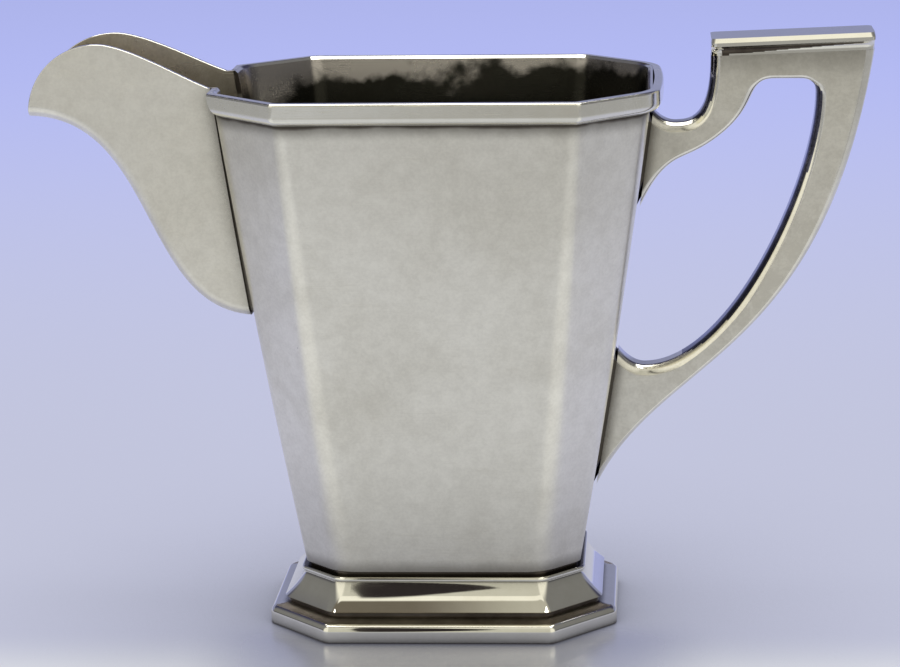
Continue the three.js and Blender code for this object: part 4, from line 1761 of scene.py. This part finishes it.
@dataclass(frozen=True)
class Studio:
    """Pale floor, a soft lamp overhead and the dim room that the silver reflects."""

    bearing_start: float = 0.02
    shine_half: Span = (0.046, 0.026)
    shine_start: Span = (-0.008, -0.022)
    shine_end: Span = (-0.055, -0.040)
    shine_facing: Span = (0.2, 0.75)
    shine_roughness: float = 0.27
    shine_share: float = 0.62
    shade_reach: float = 0.08
    shade_span: Span = (0.3, 0.98)
    shade_share: float = 0.3
    floor_radius: float = 6.0
    floor_drop: float = 0.0001
    floor_sides: int = 96
    glow_share: float = 0.7
    glow: float = 1.2

    lamp_power: float = 10.5
    lamp_size: Span = (0.9, 0.8)
    lamp_place: Triple = (0.0, 0.23, 0.95)

    dark_colour: Colour = (0.030, 0.025, 0.026)
    dark_span: Span = (-0.1085, -0.0565)
    dark_middle: float = 0.63
    dark_half: float = 0.45
    dark_blunt: float = 0.06
    dark_blunt_power: float = 0.3
    dark_taper: float = 0.85
    dark_taper_power: float = 0.36
    dark_lean: float = 0.4
    dark_edge: float = 0.04

    def measures(self, wiring: Wiring, place: Socket) -> Measures:
        """The measures of a place on the floor or of a direction in the room."""
        x, y, z = wiring.axes(place)
        aside = wiring.math("ABSOLUTE", x)
        before = wiring.math("MAXIMUM", wiring.less(self.bearing_start, y), MM)
        bearing = wiring.math("DIVIDE", aside, before)
        return dict(zip(Measure, (x, y, z, aside, bearing)))

    def floor_shine(self, wiring: Wiring, measures: Measures, direct: Socket) -> Socket:
        """How much the floor mirrors the foot, straight in front of it."""
        facing = wiring.add("ShaderNodeLayerWeight", {"Blend": 0.5}).outputs["Facing"]
        return wiring.product(
            wiring.span(measures[Measure.ASIDE], *self.shine_half, 0.0, self.shine_share),
            wiring.span(measures[Measure.Y], *self.shine_start),
            wiring.span(measures[Measure.Y], *self.shine_end),
            wiring.span(facing, *self.shine_facing),
            direct,
        )

    def floor_material(self) -> Material:
        """Pale paper that glows where it shows, with painted pools of light and shade in its colour and
        painted shade round the foot.
        """
        material = bpy.data.materials.new("pale floor")
        wiring = fresh_wiring(material)
        measures = self.measures(wiring, wiring.add("ShaderNodeTexCoord").outputs["Object"])
        path = wiring.add("ShaderNodeLightPath").outputs
        direct = path["Is Camera Ray"]
        seen = wiring.math("MAXIMUM", direct, path["Is Glossy Ray"], path["Is Transmission Ray"])
        colour = FLOOR.laid(wiring, measures)
        paper = wiring.add("ShaderNodeBsdfDiffuse", {"Color": colour})
        # Painted contact shadow: ambient occlusion dims the glow round the foot.
        shade = wiring.add("ShaderNodeAmbientOcclusion", {"Distance": self.shade_reach}, samples=8)
        least = self.shade_share * self.glow
        strength = wiring.span(shade.outputs["AO"], *self.shade_span, least, self.glow)
        glow = wiring.add("ShaderNodeEmission", {"Color": colour, "Strength": strength})
        mirror = {"Color": (1, 1, 1, 1), "Roughness": self.shine_roughness}
        gloss = wiring.add("ShaderNodeBsdfAnisotropic", mirror)
        mixed = paper.outputs[0]
        shares = (wiring.product(seen, self.glow_share), self.floor_shine(wiring, measures, direct))
        for share, layer in zip(shares, (glow, gloss)):
            mixed = wiring.add("ShaderNodeMixShader", {0: share, 1: mixed, 2: layer.outputs[0]}).outputs[0]
        wiring.add("ShaderNodeOutputMaterial", {"Surface": mixed})
        return material

    def build_floor(self) -> None:
        """A wide round floor that takes the jug's shadow and a soft reflection of its foot."""
        draft = bmesh.new()
        sides, radius = self.floor_sides, self.floor_radius
        bmesh.ops.create_circle(draft, cap_ends=True, segments=sides, radius=radius)
        bmesh.ops.translate(draft, vec=(0, 0, -self.floor_drop), verts=draft.verts)
        mesh = bpy.data.meshes.new("studio_floor")
        draft.to_mesh(mesh)
        draft.free()
        floor = placed("studio_floor", mesh)
        mesh.materials.append(self.floor_material())
        LOG.info("studio_floor: %.1f m across", 2 * radius)

    def dark_gap(self, wiring: Wiring, measures: Measures) -> Socket:
        """The unlit gap in front, round at its left end and drawn to a point at its right end."""
        x = measures[Measure.X]
        left, right = self.dark_span
        length = right - left
        blunt = wiring.span(x, left, left + self.dark_blunt * length)
        taper = wiring.span(x, right, right - self.dark_taper * length)
        half = wiring.product(
            wiring.math("POWER", blunt, self.dark_blunt_power),
            wiring.math("POWER", taper, self.dark_taper_power),
            self.dark_half,
        )
        middle = wiring.less(self.dark_middle, wiring.product(half, self.dark_lean))
        off = wiring.math("ABSOLUTE", wiring.less(measures[Measure.Z], middle))
        gap = wiring.span(wiring.less(half, off), 0.0, self.dark_edge)
        return wiring.product(gap, IN_FRONT.share(wiring, measures))

    def build_surroundings(self) -> None:
        """World light from the room, behind a plain backdrop for the camera."""
        world = bpy.data.worlds.new("studio surroundings")
        bpy.context.scene.world = world
        wiring = fresh_wiring(world)
        measures = self.measures(wiring, wiring.add("ShaderNodeTexCoord").outputs["Generated"])
        colour = wiring.tint(
            self.dark_gap(wiring, measures), ROOM.laid(wiring, measures), self.dark_colour
        )
        room, plain = (
            wiring.add("ShaderNodeBackground", {"Color": tint, "Strength": 1.0}).outputs[0]
            for tint in (colour, (*LILAC, 1))
        )
        direct = wiring.add("ShaderNodeLightPath").outputs["Is Camera Ray"]
        mixed = wiring.add("ShaderNodeMixShader", {0: direct, 1: room, 2: plain})
        wiring.add("ShaderNodeOutputWorld", {"Surface": mixed.outputs[0]})

    def build_lamp(self) -> None:
        """Wide soft lamp over the jug, a little behind it."""
        light = bpy.data.lights.new("soft_lamp", "AREA")
        light.shape = "RECTANGLE"
        light.size, light.size_y = self.lamp_size
        light.energy = self.lamp_power
        aim = Vector(self.lamp_place).to_track_quat("Z", "Y").to_matrix().to_4x4()
        placed("soft_lamp", light).matrix_world = Matrix.Translation(self.lamp_place) @ aim

    def build(self) -> None:
        """Sets the stage."""
        self.build_floor()
        self.build_surroundings()
        self.build_lamp()
        bpy.context.scene.view_settings.view_transform = "Standard"


@dataclass(frozen=True)
class PhotoCamera:
    """Camera at the photograph's viewing angle, in millimetres, degrees and image pixels."""

    place: Triple = (33.857, -460.797, 157.617)
    yaw: float = -2.229
    pitch: float = 13.372
    roll: float = -0.632
    focal_length_px: float = 2779.0
    lens_axis_px: float = 550.0
    image_width_px: float = 900.0
    sensor_width: float = 36.0
    clip_start: float = 0.01

    def build(self) -> None:
        """Adds the camera and makes it the scene's own."""
        yaw, pitch, roll = (math.radians(angle) for angle in (self.yaw, self.pitch, self.roll))
        forward = np.array([
            math.sin(yaw) * math.cos(pitch), math.cos(yaw) * math.cos(pitch), -math.sin(pitch)
        ])
        level = np.array([math.cos(yaw), -math.sin(yaw), 0])
        upright = np.cross(level, forward)
        right = math.cos(roll) * level + math.sin(roll) * upright
        up = math.cos(roll) * upright - math.sin(roll) * level
        matrix = np.eye(4)
        matrix[:3, 0], matrix[:3, 1], matrix[:3, 2] = right, up, -forward
        matrix[:3, 3] = np.array(self.place) * MM

        lens = bpy.data.cameras.new("photo_camera")
        lens.sensor_width = self.sensor_width
        lens.lens = self.focal_length_px / self.image_width_px * self.sensor_width
        lens.shift_x = (self.image_width_px / 2 - self.lens_axis_px) / self.image_width_px
        lens.clip_start = self.clip_start
        camera = placed("photo_camera", lens)
        camera.matrix_world = Matrix(matrix.tolist())
        bpy.context.scene.camera = camera


# Assembly


def main() -> None:
    """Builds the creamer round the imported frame."""
    logging.basicConfig(level=logging.INFO, format="%(name)s: %(message)s")
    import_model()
    PhotoCamera().build()
    Studio().build()

    kit = WearKit()
    silver = {finish: finish.material(kit) for finish in FINISHES}

    def coats(*finishes: SilverFinish) -> dict[Coat, Material]:
        """Materials of a piece's coats, in the coats' order."""
        return {coat: silver[finish] for coat, finish in zip(Coat, finishes)}

    body = Body()
    rim = Rim(body)
    spout = Spout(body, rim)
    handle = Handle(body, rim)
    rest = ThumbRest(handle)
    foot = Foot(body)

    body.seat(body.build_wall(spout.channel()), Slot.SATIN, coats(PANELS, INSIDE, BRIGHT), "body_wall")
    body.seat(body.build_floor(), Slot.SATIN, coats(CHANNEL), "body_floor")
    rim.seat(rim.build(spout.passage()), Slot.BRIGHT, coats(RIM), "rim_band")
    halves = (
        (spout, "spout_half", coats(POURER, CHANNEL, BRIGHT)),
        (handle, "handle_half", coats(GRIP, SHADED, BURNISHED)),
    )
    for assembly, name, dress in halves:
        front = assembly.build_half()
        back = mirrored(front, f"{name}_back_fine")
        assembly.seat(front, Slot.SATIN, dress, f"{name}_front")
        assembly.seat(back, Slot.SATIN, dress, f"{name}_back")
    rest.seat(rest.build(), Slot.BRIGHT, coats(BRIGHT, GROOVE), "thumb_rest")
    foot.seat(foot.build_pedestal(), Slot.BRIGHT, coats(FOOT, RECESS), "foot_pedestal")
    foot.seat(foot.build_band(), Slot.BRIGHT, coats(FOOT, LEDGE), "foot_base_band")


if __name__ == "__main__":
    main()
